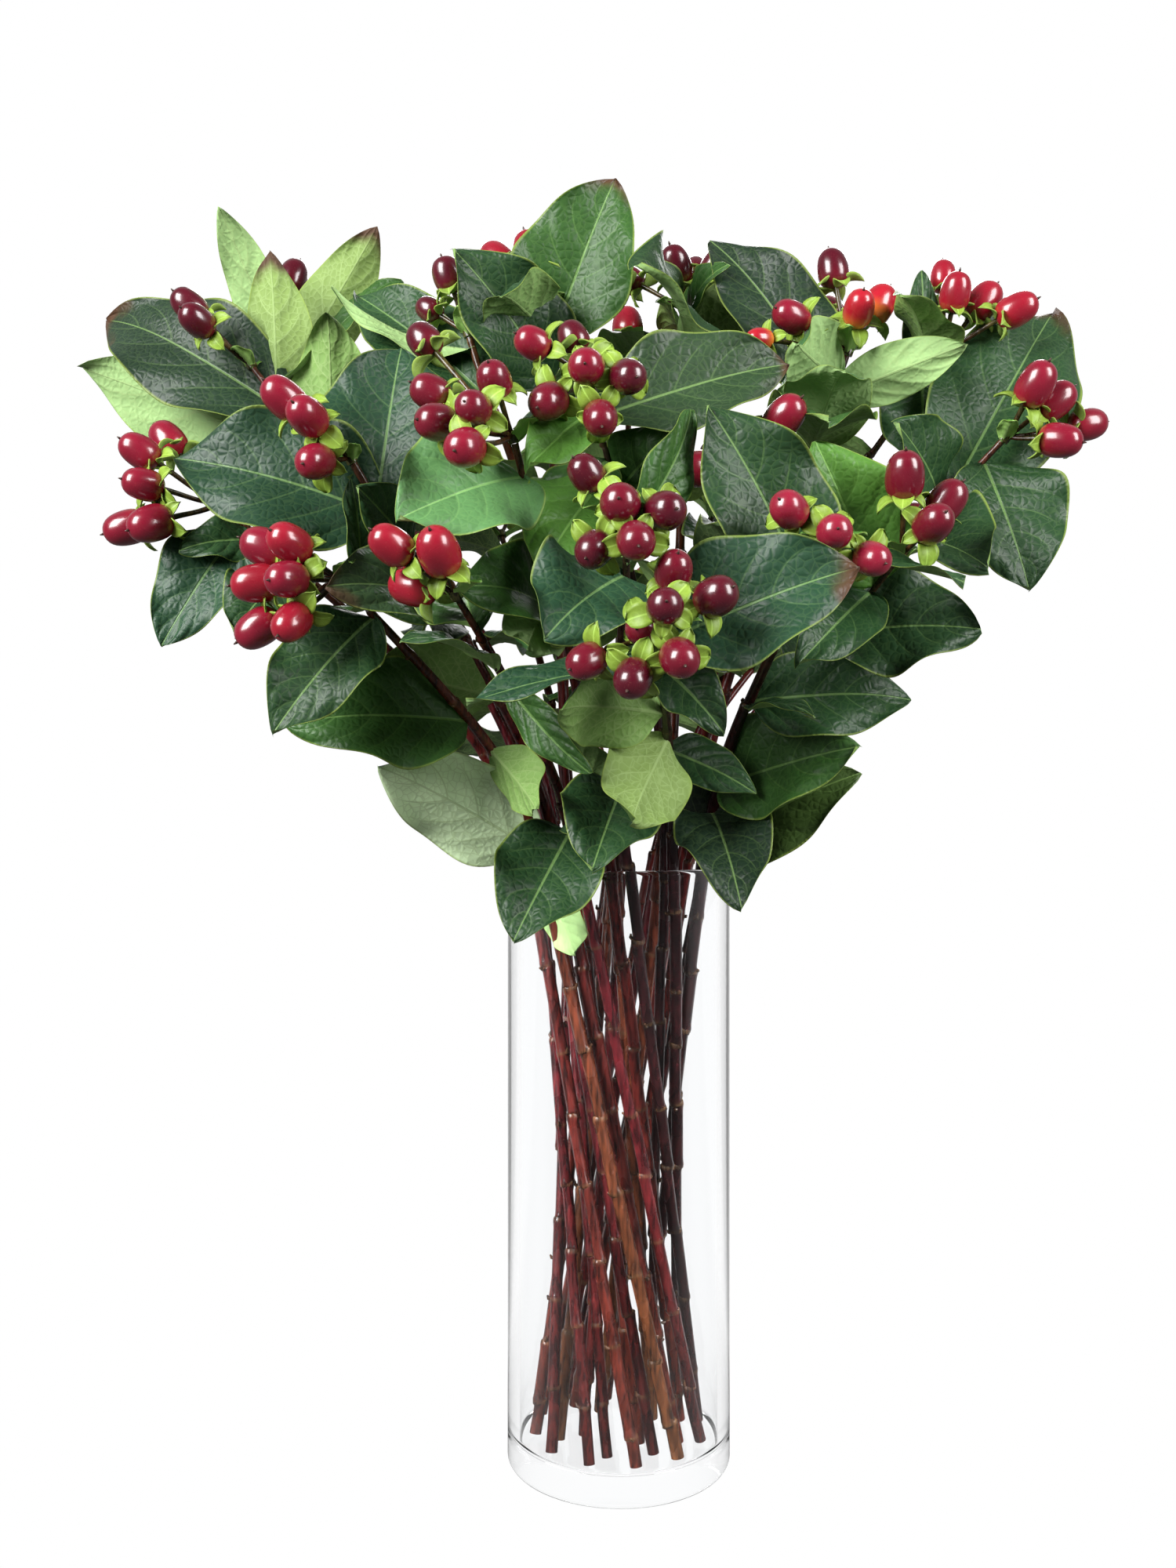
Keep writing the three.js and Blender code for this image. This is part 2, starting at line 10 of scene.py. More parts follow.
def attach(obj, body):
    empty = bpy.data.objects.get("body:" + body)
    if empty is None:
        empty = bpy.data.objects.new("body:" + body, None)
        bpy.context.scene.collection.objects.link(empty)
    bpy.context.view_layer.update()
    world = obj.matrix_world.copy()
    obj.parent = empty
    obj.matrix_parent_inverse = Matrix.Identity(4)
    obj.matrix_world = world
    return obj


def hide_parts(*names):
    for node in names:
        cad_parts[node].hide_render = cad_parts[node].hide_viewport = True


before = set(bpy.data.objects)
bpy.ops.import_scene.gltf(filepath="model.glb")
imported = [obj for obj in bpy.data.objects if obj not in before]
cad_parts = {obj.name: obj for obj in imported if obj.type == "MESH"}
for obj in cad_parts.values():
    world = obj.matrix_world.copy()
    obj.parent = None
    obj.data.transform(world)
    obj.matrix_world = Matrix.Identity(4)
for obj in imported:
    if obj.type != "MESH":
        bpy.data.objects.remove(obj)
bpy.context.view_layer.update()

# ---- Studio ----
# A white floor that runs out of sight, two tall soft boxes in front and one behind, and a white room.
# The room shines less on the plants than it looks, so that their dark greens and reds stay deep.
MM = 0.001
EYE = (-10.5 * MM, -486 * MM, 231 * MM)
LENS, FRAME_WIDTH = 32.4, 36  # mm
FLOOR_HALF = 6.0  # m
FLOOR_DROP = 0.3 * MM  # clear of the underside of the vase
FLOOR_SHINE = 0.15
WHITE = (1, 1, 1, 1)
ROOM_SEEN, ROOM_FRONT, ROOM_BACK, ROOM_TOP = 1.0, 0.03, 0.35, 0.08  # as seen, and as it shines
TO_BACK, TO_TOP = (-0.2, 0.6), (0.2, 0.9)  # where the shine of the back and the top sets in
BEHIND, FAR_BEHIND, ABOVE = (-0.5, 0.0), (0.4, 0.8), (0.02, 0.1)  # directions in the room
FLOOR_BEHIND, FLOOR_FAR = (-0.14, -0.07), (0.0, 0.1)  # m, places on the floor
NO_BOUNCE, IN_GLASS, NEAR_WALL = (0.6, 0.4), (0.4, 0.6), (3.4, 2.6)  # ramps on the depth of a ray
SOFT_BOXES = [  # place, width, height, watts
    ((-0.8, -0.75, 0.8), 0.6, 0.8, 32.0),
    ((0.85, -0.65, 0.7), 0.45, 0.8, 18.0),
    ((0.1, 0.9, 0.9), 0.8, 0.5, 10.0),
]
LOOK_AT = Vector((0, 0, 0.28))

scene = bpy.context.scene
scene.view_settings.view_transform = "Standard"


VECTORS = ("VECTOR", "RGBA")  # types of socket that hold three numbers or more


class Field:
    """A socket of a node tree that takes part in arithmetic, so that maths on it reads as maths."""

    def __init__(self, tree, socket=None):
        self.tree, self.socket = tree, socket

    def node(self, kind, inputs=None, settings=None, output=0):
        """Adds any other node. Its settings are set first, as they decide which sockets it has."""
        made = self.tree.nodes.new(kind)
        for name, value in (settings or {}).items():
            setattr(made, name, value)
        for key, value in (inputs or {}).items():
            live = [s for s in made.inputs if s.enabled]
            socket = live[key] if isinstance(key, int) else next(s for s in live if s.name == key)
            if isinstance(value, Field):
                self.tree.links.new(value.socket, socket)
            else:
                socket.default_value = value
        live = [s for s in made.outputs if s.enabled]
        if not live:
            return None
        found = live[output] if isinstance(output, int) else next(s for s in live if s.name == output)
        return Field(self.tree, found)

    def also(self, output):
        """Another output of the node that this socket is on."""
        return Field(self.tree, self.socket.node.outputs[output])

    def _alone(self, operation):
        return self.node("ShaderNodeMath", {0: self}, {"operation": operation})

    def _join(self, operation, other, flip=False):
        def is_vector(value):
            return isinstance(value, tuple) or (isinstance(value, Field) and value.socket.type in VECTORS)

        first, second = (other, self) if flip else (self, other)
        if not is_vector(first) and not is_vector(second):
            return self.node("ShaderNodeMath", {0: first, 1: second}, {"operation": operation})
        if operation == "MULTIPLY" and is_vector(first) != is_vector(second):
            way, share = (first, second) if is_vector(first) else (second, first)
            return self.node("ShaderNodeVectorMath", {0: way, "Scale": share}, {"operation": "SCALE"})
        return self.node("ShaderNodeVectorMath", {0: first, 1: second}, {"operation": operation})

    def __pow__(self, other):
        return self._join("POWER", other)

    def __neg__(self):
        return self._join("MULTIPLY", -1.0)

    def most(self, other):
        return self._join("MAXIMUM", other)

    def least(self, other):
        return self._join("MINIMUM", other)

    def size(self):
        return self._alone("ABSOLUTE")

    def sine(self):
        return self._alone("SINE")

    def cosine(self):
        return self._alone("COSINE")

    def split(self):
        parts = self.node("ShaderNodeSeparateXYZ", {0: self})
        return parts, parts.also(1), parts.also(2)

    def vector(self, x, y, z):
        return self.node("ShaderNodeCombineXYZ", {0: x, 1: y, 2: z})

    def ramp(self, low, high):
        """0 below low and 1 above high, smooth between them. With low above high it falls."""
        return self.node("ShaderNodeMapRange", {"Value": self, "From Min": low, "From Max": high},
                         {"interpolation_type": "SMOOTHSTEP"})

    def tint(self, first, second):
        """The first colour where this share is 0 and the second where it is 1."""
        settings = {"data_type": "RGBA", "clamp_factor": True}
        return self.node("ShaderNodeMix", {"Factor": self, "A": first, "B": second}, settings, "Result")


# the signs of arithmetic, also where the field is the second of the two
for sign, operation in (("add", "ADD"), ("sub", "SUBTRACT"), ("mul", "MULTIPLY"), ("truediv", "DIVIDE")):
    setattr(Field, f"__{sign}__", lambda self, other, way=operation: self._join(way, other))
    setattr(Field, f"__r{sign}__", lambda self, other, way=operation: self._join(way, other, True))


def material_tree(name):
    material = bpy.data.materials.new(name)
    material.use_nodes = True
    material.node_tree.nodes.clear()
    return material, Field(material.node_tree)


camera = bpy.data.objects.new("camera", bpy.data.cameras.new("camera"))
camera.location = EYE
camera.rotation_euler = (math.pi / 2, 0, 0)
camera.data.lens = LENS
camera.data.sensor_width = FRAME_WIDTH
scene.collection.objects.link(camera)
scene.camera = camera

for number, (place, width, height, watts) in enumerate(SOFT_BOXES):
    lamp = bpy.data.lights.new(f"soft_box_{number}", "AREA")
    lamp.shape, lamp.size, lamp.size_y, lamp.energy = "RECTANGLE", width, height, watts
    holder = bpy.data.objects.new(lamp.name, lamp)
    holder.location = place
    holder.rotation_euler = (LOOK_AT - holder.location).to_track_quat("-Z", "Y").to_euler()
    scene.collection.objects.link(holder)


def seen_straight(start, behind, far_behind):
    """1 for rays that come from the camera, also through glass, and for those that glass throws on from it.

    Within one wall that holds where behind is 1, and beyond a second wall where far_behind is 1. Glass
    mirrors what far_behind marks, so that its sides shine.
    """
    path = start.node("ShaderNodeLightPath", output="Is Camera Ray")
    mirrored = path.also("Is Singular Ray") * far_behind
    first = path.most(path.also("Is Transmission Ray")).most(mirrored)
    first = first * path.also("Diffuse Depth").ramp(*NO_BOUNCE)
    passed = path.also("Transmission Depth")
    inside = passed.ramp(*IN_GLASS) * (passed.ramp(*NEAR_WALL) * behind).most(far_behind)
    return first * path.also("Glossy Depth").ramp(*NO_BOUNCE).most(inside).most(mirrored)


room = bpy.data.worlds.new("white_room")
room.use_nodes = True
room.node_tree.nodes.clear()
start = Field(room.node_tree)
_, y, z = start.node("ShaderNodeTexCoord", output="Generated").split()
shine = ROOM_FRONT + (ROOM_BACK - ROOM_FRONT) * y.ramp(*TO_BACK) + ROOM_TOP * z.ramp(*TO_TOP)
straight = seen_straight(start, y.ramp(*BEHIND).most(z.ramp(*ABOVE)), y.ramp(*FAR_BEHIND))
shine = shine + (ROOM_SEEN - shine) * straight
glow = start.node("ShaderNodeBackground", {"Color": WHITE, "Strength": shine})
start.node("ShaderNodeOutputWorld", {"Surface": glow})
scene.world = room

white, start = material_tree("white_floor")
paint = start.node("ShaderNodeEmission", {"Color": WHITE, "Strength": FLOOR_SHINE})
seen = start.node("ShaderNodeEmission", {"Color": WHITE, "Strength": ROOM_SEEN})
_, y, _ = start.node("ShaderNodeTexCoord", output="Object").split()
straight = seen_straight(start, y.ramp(*FLOOR_BEHIND), y.ramp(*FLOOR_FAR))
lit = start.node("ShaderNodeMixShader", {0: straight, 1: paint, 2: seen})
start.node("ShaderNodeOutputMaterial", {"Surface": lit})
floor_mesh = bpy.data.meshes.new("floor")
corners = [(-1, -1), (1, -1), (1, 1), (-1, 1)]
floor_mesh.from_pydata([(x * FLOOR_HALF, y * FLOOR_HALF, 0) for x, y in corners], [], [(0, 1, 2, 3)])
floor = bpy.data.objects.new("floor", floor_mesh)
floor.data.materials.append(white)
floor.location.z = -FLOOR_DROP
scene.collection.objects.link(floor)


# ---- Vase ----
# A straight cylinder of clear glass, blown and cut: a thick flat foot with a rounded heel, an even wall and
# a fire-polished rim.
VASE = {"radius": 38.1, "height": 203.2, "wall": 3.7, "floor": 9.0}
HEEL, RIM, WELL = 2.2, 1.5, 3.0  # mm, the radii of its rounded edges
AROUND_VASE = 160
GLASS_TINT, GLASS_BEND = (0.99, 0.996, 1.0, 1), 1.3
GLASS_SHADOW = (0.97, 0.98, 0.98, 1)


def arc(centre_r, centre_z, radius, first, last, steps=7):
    turns = [math.radians(first + (last - first) * k / steps) for k in range(steps + 1)]
    return [(centre_r + radius * math.cos(t), centre_z + radius * math.sin(t)) for t in turns]


def vase_profile():
    out, top = VASE["radius"], VASE["height"]
    inside, well = out - VASE["wall"], VASE["floor"]
    return [
        (0, 0),
        *arc(out - HEEL, HEEL, HEEL, -90, 0),
        *arc(out - RIM, top - RIM, RIM, 0, 90),
        *arc(inside + RIM, top - RIM, RIM, 90, 180),
        *arc(inside - WELL, well + WELL, WELL, 0, -90),
        (0, well),
    ]


def lathe(name, profile, around):
    """A closed skin turned about Z from a profile that starts and ends on the axis."""
    made = bmesh.new()
    rings = []
    for r, z in profile:
        spots = [(0, 0)] if r == 0 else [
            (r * math.cos(2 * math.pi * k / around), r * math.sin(2 * math.pi * k / around))
            for k in range(around)
        ]
        rings.append([made.verts.new((x * MM, y * MM, z * MM)) for x, y in spots])
    for low, high in zip(rings, rings[1:]):
        for k in range(around):
            a, b = low[k % len(low)], low[(k + 1) % len(low)]
            c, d = high[(k + 1) % len(high)], high[k % len(high)]
            made.faces.new(list(dict.fromkeys([a, b, c, d])))
    bmesh.ops.recalc_face_normals(made, faces=made.faces)
    mesh = bpy.data.meshes.new(name)
    made.to_mesh(mesh)
    made.free()
    mesh.shade_smooth()
    return mesh


glass, start = material_tree("clear_glass")
clear = start.node("ShaderNodeBsdfPrincipled", {
    "Base Color": GLASS_TINT, "Roughness": 0.0, "IOR": GLASS_BEND, "Transmission Weight": 1.0,
})
open_air = start.node("ShaderNodeBsdfTransparent", {"Color": GLASS_SHADOW})
in_shadow = start.node("ShaderNodeLightPath", output="Is Shadow Ray")
pane = start.node("ShaderNodeMixShader", {0: in_shadow, 1: clear, 2: open_air})
start.node("ShaderNodeOutputMaterial", {"Surface": pane})

vase = bpy.data.objects.new("glass_cylinder", lathe("glass_cylinder", vase_profile(), AROUND_VASE))
vase.data.materials.append(glass)
scene.collection.objects.link(vase)
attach(vase, "root")
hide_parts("vase")


# ---- The plan of the bunch ----
# Each stem runs straight through the vase, where all lean one way round a shared waist, and bends out above
# the rim to its head. The stems of the front are given leaf by leaf, and those of the far side grow by rule.
WAIST_HEIGHT, NECK_HEIGHT, FOOT_HEIGHT = 101, 206, 10.2
RULING = {"outer": (20, 0.228), "middle": (13, 0.2), "inner": (6.5, 0.13)}  # waist radius, lean
BEND = {"along": 0.33, "back": 0.66, "lift": 0.05}
FACING = {
    "front": (0, -1, 0.35), "back": (0, 1, 0.3), "up": (0, -0.45, 1),
    "down": (0, 0.35, -1), "left": (-1, -0.7, 0.3), "right": (1, -0.7, 0.3),
}
# A row, in mm, is its ruling, the direction of its waist point in degrees, its tip, its berries' middles (a
# fourth number scales one) or only their number, and its leaves: the root's height, the tip, the width as a
# share of the length, the tone, and the facing where it isn't the front.
STEMS = [
    ("middle", 245, (-128, 10, 377), [(-143, -8, 388), (-149, 4, 397, 0.9)], [
        (360, -192, 37, 408, 0.46, "dark worn"), (342, -193, 36, 384, 0.45, "pale", "back"),
        (366, -125, 24, 422, 0.45, "olive worn", "back"), (342, -100, 0, 393, 0.6, "mid", "back"),
    ]),
    ("outer", -126, (-130, -20, 322), [
        (-156, -28, 339), (-153, -34, 327), (-150, -36, 314), (-162, -23, 315), (-151, -14, 346),
    ], [
        (317, -148, -30, 275, 0.6, "blue"), (312, -141, -34, 307, 0.6, "deep"),
        (303, -121, -45, 280, 0.7, "deep"),
    ]),
    ("outer", -96, (-83, -65, 291), [
        (-96, -82, 300), (-96, -86, 289), (-95, -84, 277), (-106, -68, 301), (-108, -71, 290),
        (-108, -69, 277),
    ], [
        (282, -108, -75, 250, 0.6, "deep"), (287, -83, -60, 324, 0.35, "deep", "right"),
        # the second leaf on the next line has its under side painted pale, painted light shining through it
        # from behind
        (251, -100, -62, 251, 0.6, "mid"), (208, -77, -40, 238, 0.55, "silver", "back"),
        (242, -25, -60, 223, 0.45, "mid", "back"), (192, -19, -26, 166, 0.6, "pale", "back"),
    ]),
    ("middle", -85, (-83, -50, 330), [(-102, -62, 347), (-93, -72, 339), (-91, -70, 326)], [
        (319, -71, -40, 374, 0.8, "blue"), (314, -138, -55, 336, 0.65, "blue"),
        (304, -76, -66, 323, 0.7, "deep"), (285, -88, -82, 285, 0.6, "aged"),
        (259, -72, -60, 261, 0.55, "mid", "back"),
    ]),
    ("middle", 205, (-130, 45, 396), [(-140, 48, 418), (-123, 52, 424), (-135, 62, 428)], [
        (391, -143, 22, 439, 0.33, "pale", "back"), (385, -88, 34, 436, 0.42, "olive worn", "back"),
        (380, -80, 40, 419, 0.5, "mid", "left"),
    ]),
    ("outer", -66, (-47, -90, 283), [(-64, -102, 296), (-51, -104, 294), (-60, -86, 287)], [
        (265, -61, -98, 273, 0.4, "deep", "up"), (260, -11, -80, 234, 0.35, "mid", "left"),
        (216, -33, -57, 184, 0.75, "deep"),
    ]),
    ("middle", -40, (-32, -72, 331), [
        (-37, -88, 345), (-42, -100, 334), (-44, -104, 322), (-53, -92, 332), (-56, -79, 344),
        (-60, -60, 365),
    ], [
        (322, -63, -98, 303, 0.85, "light"), (282, -43, -95, 288, 0.65, "mid"),
        (290, -29, -88, 267, 0.5, "pale", "back"), (228, -28, -70, 247, 0.35, "deep", "up"),
        (224, -19, -60, 213, 0.4, "deep", "left"),
    ]),
    ("inner", -33, (-50, -15, 380), [(-57, -18, 400), (-64, -10, 391, 0.85)], [
        (375, -98, -5, 400, 0.3, "pale", "down"), (358, -92, 14, 403, 0.45, "deep"),
    ]),
    ("inner", 237, (-24, -5, 391), [(-30, -6, 412), (-42, 6, 414), (-27, 15, 411)], [
        (380, 1, 2, 433, 0.7, "mid worn"), (367, -54, -30, 404, 0.66, "deep"),
        (379, -40, 30, 437, 0.6, "mid"),
    ]),
    ("middle", 5, (-9, -58, 352), [
        (-22, -80, 341), (-11, -84, 350), (1, -84, 347), (-7, -88, 334), (-27, -67, 362), (-15, -56, 367),
    ], [
        (327, -24, -88, 292, 0.6, "fresh"), (343, 52, -50, 362, 0.55, "aged"),
        (320, 17, -60, 338, 0.8, "mid"), (345, -26, -88, 325, 0.5, "fresh"), (331, -32, -70, 300, 0.5, "mid"),
        (243, 27, -54, 220, 0.45, "deep"),
    ]),
    ("outer", -36, (0, -90, 303), [
        (-11, -100, 316), (-2, -114, 305), (10, -114, 303), (2, -120, 294), (-9, -112, 293),
    ], [
        (291, -21, -112, 272, 0.9, "blue"), (299, 22, -88, 340, 0.4, "mid", "right"),
        (230, -10, -70, 202, 0.75, "deep"),
    ]),
    ("outer", -6, (9, -98, 272), [
        (12, -116, 287), (9, -129, 276), (4, -113, 272), (23, -118, 280), (13, -126, 263), (1, -123, 258),
        (-11, -117, 263),
    ], [
        (263, -44, -95, 252, 0.35, "blue", "up"), (252, -20, -95, 253, 0.65, "mid", "back"),
        (245, 1, -82, 219, 0.75, "olive", "back"), (270, 62, -108, 290, 0.65, "blue worn"),
        (264, 27, -98, 245, 0.6, "deep"),
    ]),
    ("outer", 24, (57, -76, 299), [(45, -96, 307), (57, -100, 300), (68, -97, 293)], [
        (289, 24, -80, 340, 0.62, "deep"), (296, 99, -75, 289, 0.35, "deep", "up"),
        (257, 91, -45, 259, 0.6, "deep"), (255, 56, -70, 253, 0.3, "deep", "up"),
        (230, 71, -55, 243, 0.65, "mid"), (222, 20, -62, 197, 0.6, "dark"),
    ]),
    ("outer", 54, (83, -60, 299), [(82, -74, 321), (96, -66, 315), (89, -80, 306)], [
        (291, 66, -74, 333, 0.75, "fresh"), (278, 108, -60, 278, 0.8, "deep"),
        (290, 50, -80, 265, 0.5, "deep"), (209, 75, -30, 235, 0.55, "olive"),
    ]),
    ("outer", 84, (126, -20, 344), [(134, -31, 360), (143, -22, 357), (142, -30, 342), (156, -15, 351)], [
        (327, 158, 20, 404, 0.5, "deep worn"), (338, 131, -35, 294, 0.8, "deep"),
        (311, 110, -60, 297, 0.7, "deep"), (324, 85, -45, 344, 0.75, "deep"),
    ]),
    ("middle", 110, (112, 5, 380), [(115, -4, 399), (114, 9, 409, 0.9), (127, 5, 399), (136, -4, 393)], [
        (371, 103, -5, 338, 0.9, "deep"), (370, 111, 0, 408, 0.35, "deep"),
    ]),
    ("middle", 80, (77, -8, 376), [
        (73, -4, 407), (56, -24, 384), (79, -20, 388), (88, -6, 394), (74, 7, 396, 0.9), (62, 5, 399, 0.85),
        (45, -29, 375, 0.7),
    ], [
        (362, 107, -20, 391, 0.4, "pale", "back"), (348, 70, -45, 363, 0.65, "pale", "back"),
        (368, 52, -38, 366, 0.75, "pale", "back"), (346, 50, -60, 339, 0.6, "mid"),
        (361, 43, 12, 428, 0.45, "dark"),
    ]),
    ("inner", 57, (26, 25, 401), [
        (21, 20, 417), (36, 22, 418), (29, 36, 420), (4, 34, 417), (48, 30, 414, 0.8),
    ], [
        (385, -3, -37, 390, 0.7, "deep"), (390, 51, -10, 398, 0.55, "aged", "back"),
        (397, 39, -5, 412, 0.5, "mid", "left"),
    ]),
    ("middle", 45, (38, -40, 330), [(50, -52, 344), (23, -56, 327), (38, -58, 334, 0.9)], [
        (208, 52, -45, 221, 0.6, "dark worn"),
    ]),
    ("outer", 204, (-88, 52, 345), 3, []),
    ("outer", 174, (-45, 82, 330), 3, []),
    ("outer", 144, (2, 104, 305), 3, []),
    ("middle", 150, (42, 84, 345), 3, []),
    ("outer", 114, (92, 58, 320), 3, []),
    ("inner", 147, (5, 48, 385), 3, []),
]
UP = Vector((0, 0, 1))


DRAWS = {  # where the numbers of each kind of random draw start
    "cane": 1, "head": 40, "far berry": 50, "sway": 60, "rise": 70, "reach": 90, "width": 110, "fold": 130,
    "bow": 150, "ripple": 170, "joint": 201, "stub side": 230, "stub size": 250, "rule tone": 300,
    "shade": 400, "curl": 420, "phase": 440, "bract": 480, "bract phase": 490, "spin": 500, "berry": 520,
}


class Stem:
    """One row of the plan, with its path in millimetres."""

    def __init__(self, index, row):
        self.index = index
        self.ruling, self.turn, tip, self.berries, self.leaves = row
        self.tip = Vector(tip)
        self.far = isinstance(self.berries, int)
        neck = self.on_ruling(NECK_HEIGHT)
        reach = (neck - self.tip).length
        heading = (neck - self.on_ruling(WAIST_HEIGHT)).normalized()
        second = neck.lerp(self.tip, BEND["back"]) + UP * BEND["lift"] * reach
        self.bend = [neck, neck + heading * BEND["along"] * reach, second, self.tip]
        self.heading = (self.tip - second).normalized()

    def chance(self, kind, number=0):
        """A number from 0 to 1 that always comes out the same for this stem, kind of draw and number."""
        n = (self.index * 7919 + (DRAWS[kind] + number) * 104729 + 12345) % 2**32
        for _ in range(3):
            n = (n * 1664525 + 1013904223) % 2**32
        return n / 2**32

    def draw(self, span, kind, number=0):
        return span[0] + (span[1] - span[0]) * self.chance(kind, number)

    def on_ruling(self, height):
        waist, lean = RULING[self.ruling]
        turn = math.radians(self.turn)
        climb = lean * (height - WAIST_HEIGHT)
        return Vector((
            waist * math.cos(turn) + climb * math.sin(turn),
            waist * math.sin(turn) - climb * math.cos(turn),
            height,
        ))

    def on_bend(self, u):
        a, b, c, d = self.bend
        v = 1 - u
        return a * v**3 + b * (3 * v * v * u) + c * (3 * v * u * u) + d * u**3

    def at_height(self, height):
        if height <= NECK_HEIGHT:
            return self.on_ruling(height)
        low, high = 0.0, 1.0
        for _ in range(40):
            middle = (low + high) / 2
            low, high = (middle, high) if self.on_bend(middle).z < height else (low, middle)
        return self.on_bend(low)


stems = [Stem(index, row) for index, row in enumerate(STEMS)]


# ---- How the plants grow ----
# Every shoot, leaf and berry is grown from points: a shoot's points are joined by edges, a leaf is one point
# at its root and a berry one point at its middle. Each point carries what the trees below need to know of it.
VALUES = {  # by their type, the field that it is set by, and its size
    ("FLOAT", "value", 1): ("kind", "thickness"),
    ("FLOAT_VECTOR", "vector", 3): ("along", "side", "normal", "measure", "form", "habit", "turn"),
    ("FLOAT_COLOR", "color", 4): ("bark", "upper", "under", "low_skin", "high_skin"),
}
SPENT_VALUES = ("kind", "thickness", "along", "side", "normal", "form", "turn")  # no material reads these
SHOOT, BLADE, BERRY = 0.0, 1.0, 2.0  # kinds of point


class Growth:
    """The points, edges and values that one piece is grown from."""

    def __init__(self):
        self.points, self.edges, self.values = [], [], []

    def point(self, place, **values):
        self.points.append(Vector(place) * MM)
        self.values.append(values)

    def shoot(self, places, radii, barks):
        first = len(self.points)
        for place, radius, bark in zip(places, radii, barks):
            self.point(place, kind=SHOOT, thickness=radius * MM, bark=bark)
        self.edges += [(k, k + 1) for k in range(first, len(self.points) - 1)]

    def grown(self, name, trees):
        """A plain mesh object: the points and edges run through the trees, with their inputs by name."""
        seed = bpy.data.meshes.new(name)
        seed.from_pydata(self.points, self.edges, [])
        for (kind, field, size), names in VALUES.items():
            blank = (0.0,) * size if size > 1 else 0.0
            for value in names:
                flat = np.array([values.get(value, blank) for values in self.values], np.float32).ravel()
                seed.attributes.new(value, kind, "POINT").data.foreach_set(field, flat)
        piece = bpy.data.objects.new(name, seed)
        scene.collection.objects.link(piece)
        for tree, inputs in trees:
            modifier = piece.modifiers.new(tree.name, "NODES")
            modifier.node_group = tree
            for item in tree.interface.items_tree:
                if item.in_out == "INPUT" and item.name in inputs:
                    modifier[item.identifier] = inputs[item.name]
        seen = bpy.context.evaluated_depsgraph_get()
        mesh = bpy.data.meshes.new_from_object(
            piece.evaluated_get(seen), preserve_all_data_layers=True, depsgraph=seen,
        )
        piece.modifiers.clear()
        piece.data = mesh
        bpy.data.meshes.remove(seed)
        mesh.name = name
        for spent in SPENT_VALUES:
            if spent in mesh.attributes:
                mesh.attributes.remove(mesh.attributes[spent])
        return piece


def new_tree(name, sizes):
    """A geometry tree with its named inputs, each a whole number, or None for a material."""
    tree = bpy.data.node_groups.new(name, "GeometryNodeTree")
    tree.interface.new_socket("Geometry", in_out="INPUT", socket_type="NodeSocketGeometry")
    tree.interface.new_socket("Geometry", in_out="OUTPUT", socket_type="NodeSocketGeometry")
    for size, value in sizes.items():
        kind = "NodeSocketMaterial" if value is None else "NodeSocketInt"
        socket = tree.interface.new_socket(size, in_out="INPUT", socket_type=kind)
        if value is not None:
            socket.default_value = value
    start = Field(tree)
    return tree, start, start.node("NodeGroupInput")


def named(start, name, kind="FLOAT_VECTOR"):
    return start.node("GeometryNodeInputNamedAttribute", {"Name": name}, {"data_type": kind})


def of_kind(start, geometry, kind):
    """The points of one kind, and the rest."""
    kinds = named(start, "kind", "FLOAT")
    chosen = start.node("FunctionNodeCompare", {"A": kinds, "B": kind, "Epsilon": 0.1},
                        {"data_type": "FLOAT", "operation": "EQUAL"})
    picked = start.node("GeometryNodeSeparateGeometry", {"Geometry": geometry, "Selection": chosen},
                        {"domain": "POINT"})
    return picked, picked.also("Inverted")


def together(start, *parts):
    joined = start.node("GeometryNodeJoinGeometry")
    for part in parts:
        start.tree.links.new(part.socket, joined.socket.node.inputs[0])
    return joined


def smooth_and_set(start, geometry, material):
    rounded = start.node("GeometryNodeSetShadeSmooth", {0: geometry})
    return start.node("GeometryNodeSetMaterial", {"Geometry": rounded, "Material": material})


def carrying(start, geometry, name, value):
    """The geometry with a vector on each of its corners, for its bending or its material."""
    return start.node("GeometryNodeStoreNamedAttribute", {
        "Geometry": geometry, "Name": name, "Value": value,
    }, {"data_type": "FLOAT_VECTOR"})


def end_tree(start, *parts):
    """The parts of a tree as one real mesh."""
    done = start.node("GeometryNodeRealizeInstances", {"Geometry": together(start, *parts)})
    start.node("NodeGroupOutput", {"Geometry": done})


def carried(start, name, output="Vector"):
    """What a mesh carries for its material."""
    return start.node("ShaderNodeAttribute", None, {"attribute_name": name}, output=output)


def noise(start, place, scale):
    return start.node("ShaderNodeTexNoise", {"Vector": place, "Scale": scale})


def end_material(start, look):
    surface = start.node("ShaderNodeBsdfPrincipled", look)
    start.node("ShaderNodeOutputMaterial", {"Surface": surface})


# ---- Canes and stalks ----
# Woody shoots, round, with a slight swelling and a pale scar at each joint where a pair of leaves stood.
# They are cut square at the foot. The same bark, thinner and redder, covers the stalks of the berries.
CANE = {"radius": (1.65, 2.25), "tip_share": 0.55}
CANE_STEPS, RING_GAP = 60, 5.0  # points of the straight and of the bend, and mm between rings
FIRST_JOINT, JOINT_GAP, LAST_GAP = (8, 20), (19, 30), 12  # mm up the cane, and to its tip
JOINT_RINGS = (-2.5, -1.4, -0.7, -0.25, 0.25, 0.7, 1.4, 2.5)  # mm from the joint
JOINT_SWELL, JOINT_HALF, SCAR_HALF = 0.13, 1.5, 0.5  # share of the radius, mm, mm
KINK = {"reach": 0.4, "turn": 2.4, "slant": 0.6, "ease": 10}  # mm that a cane strays from joint to joint
RED_FROM = 210  # mm up the cane, where it has its upper colour
PALE_SHARE = 0.5  # of the scar at a joint, and of the green at the tip
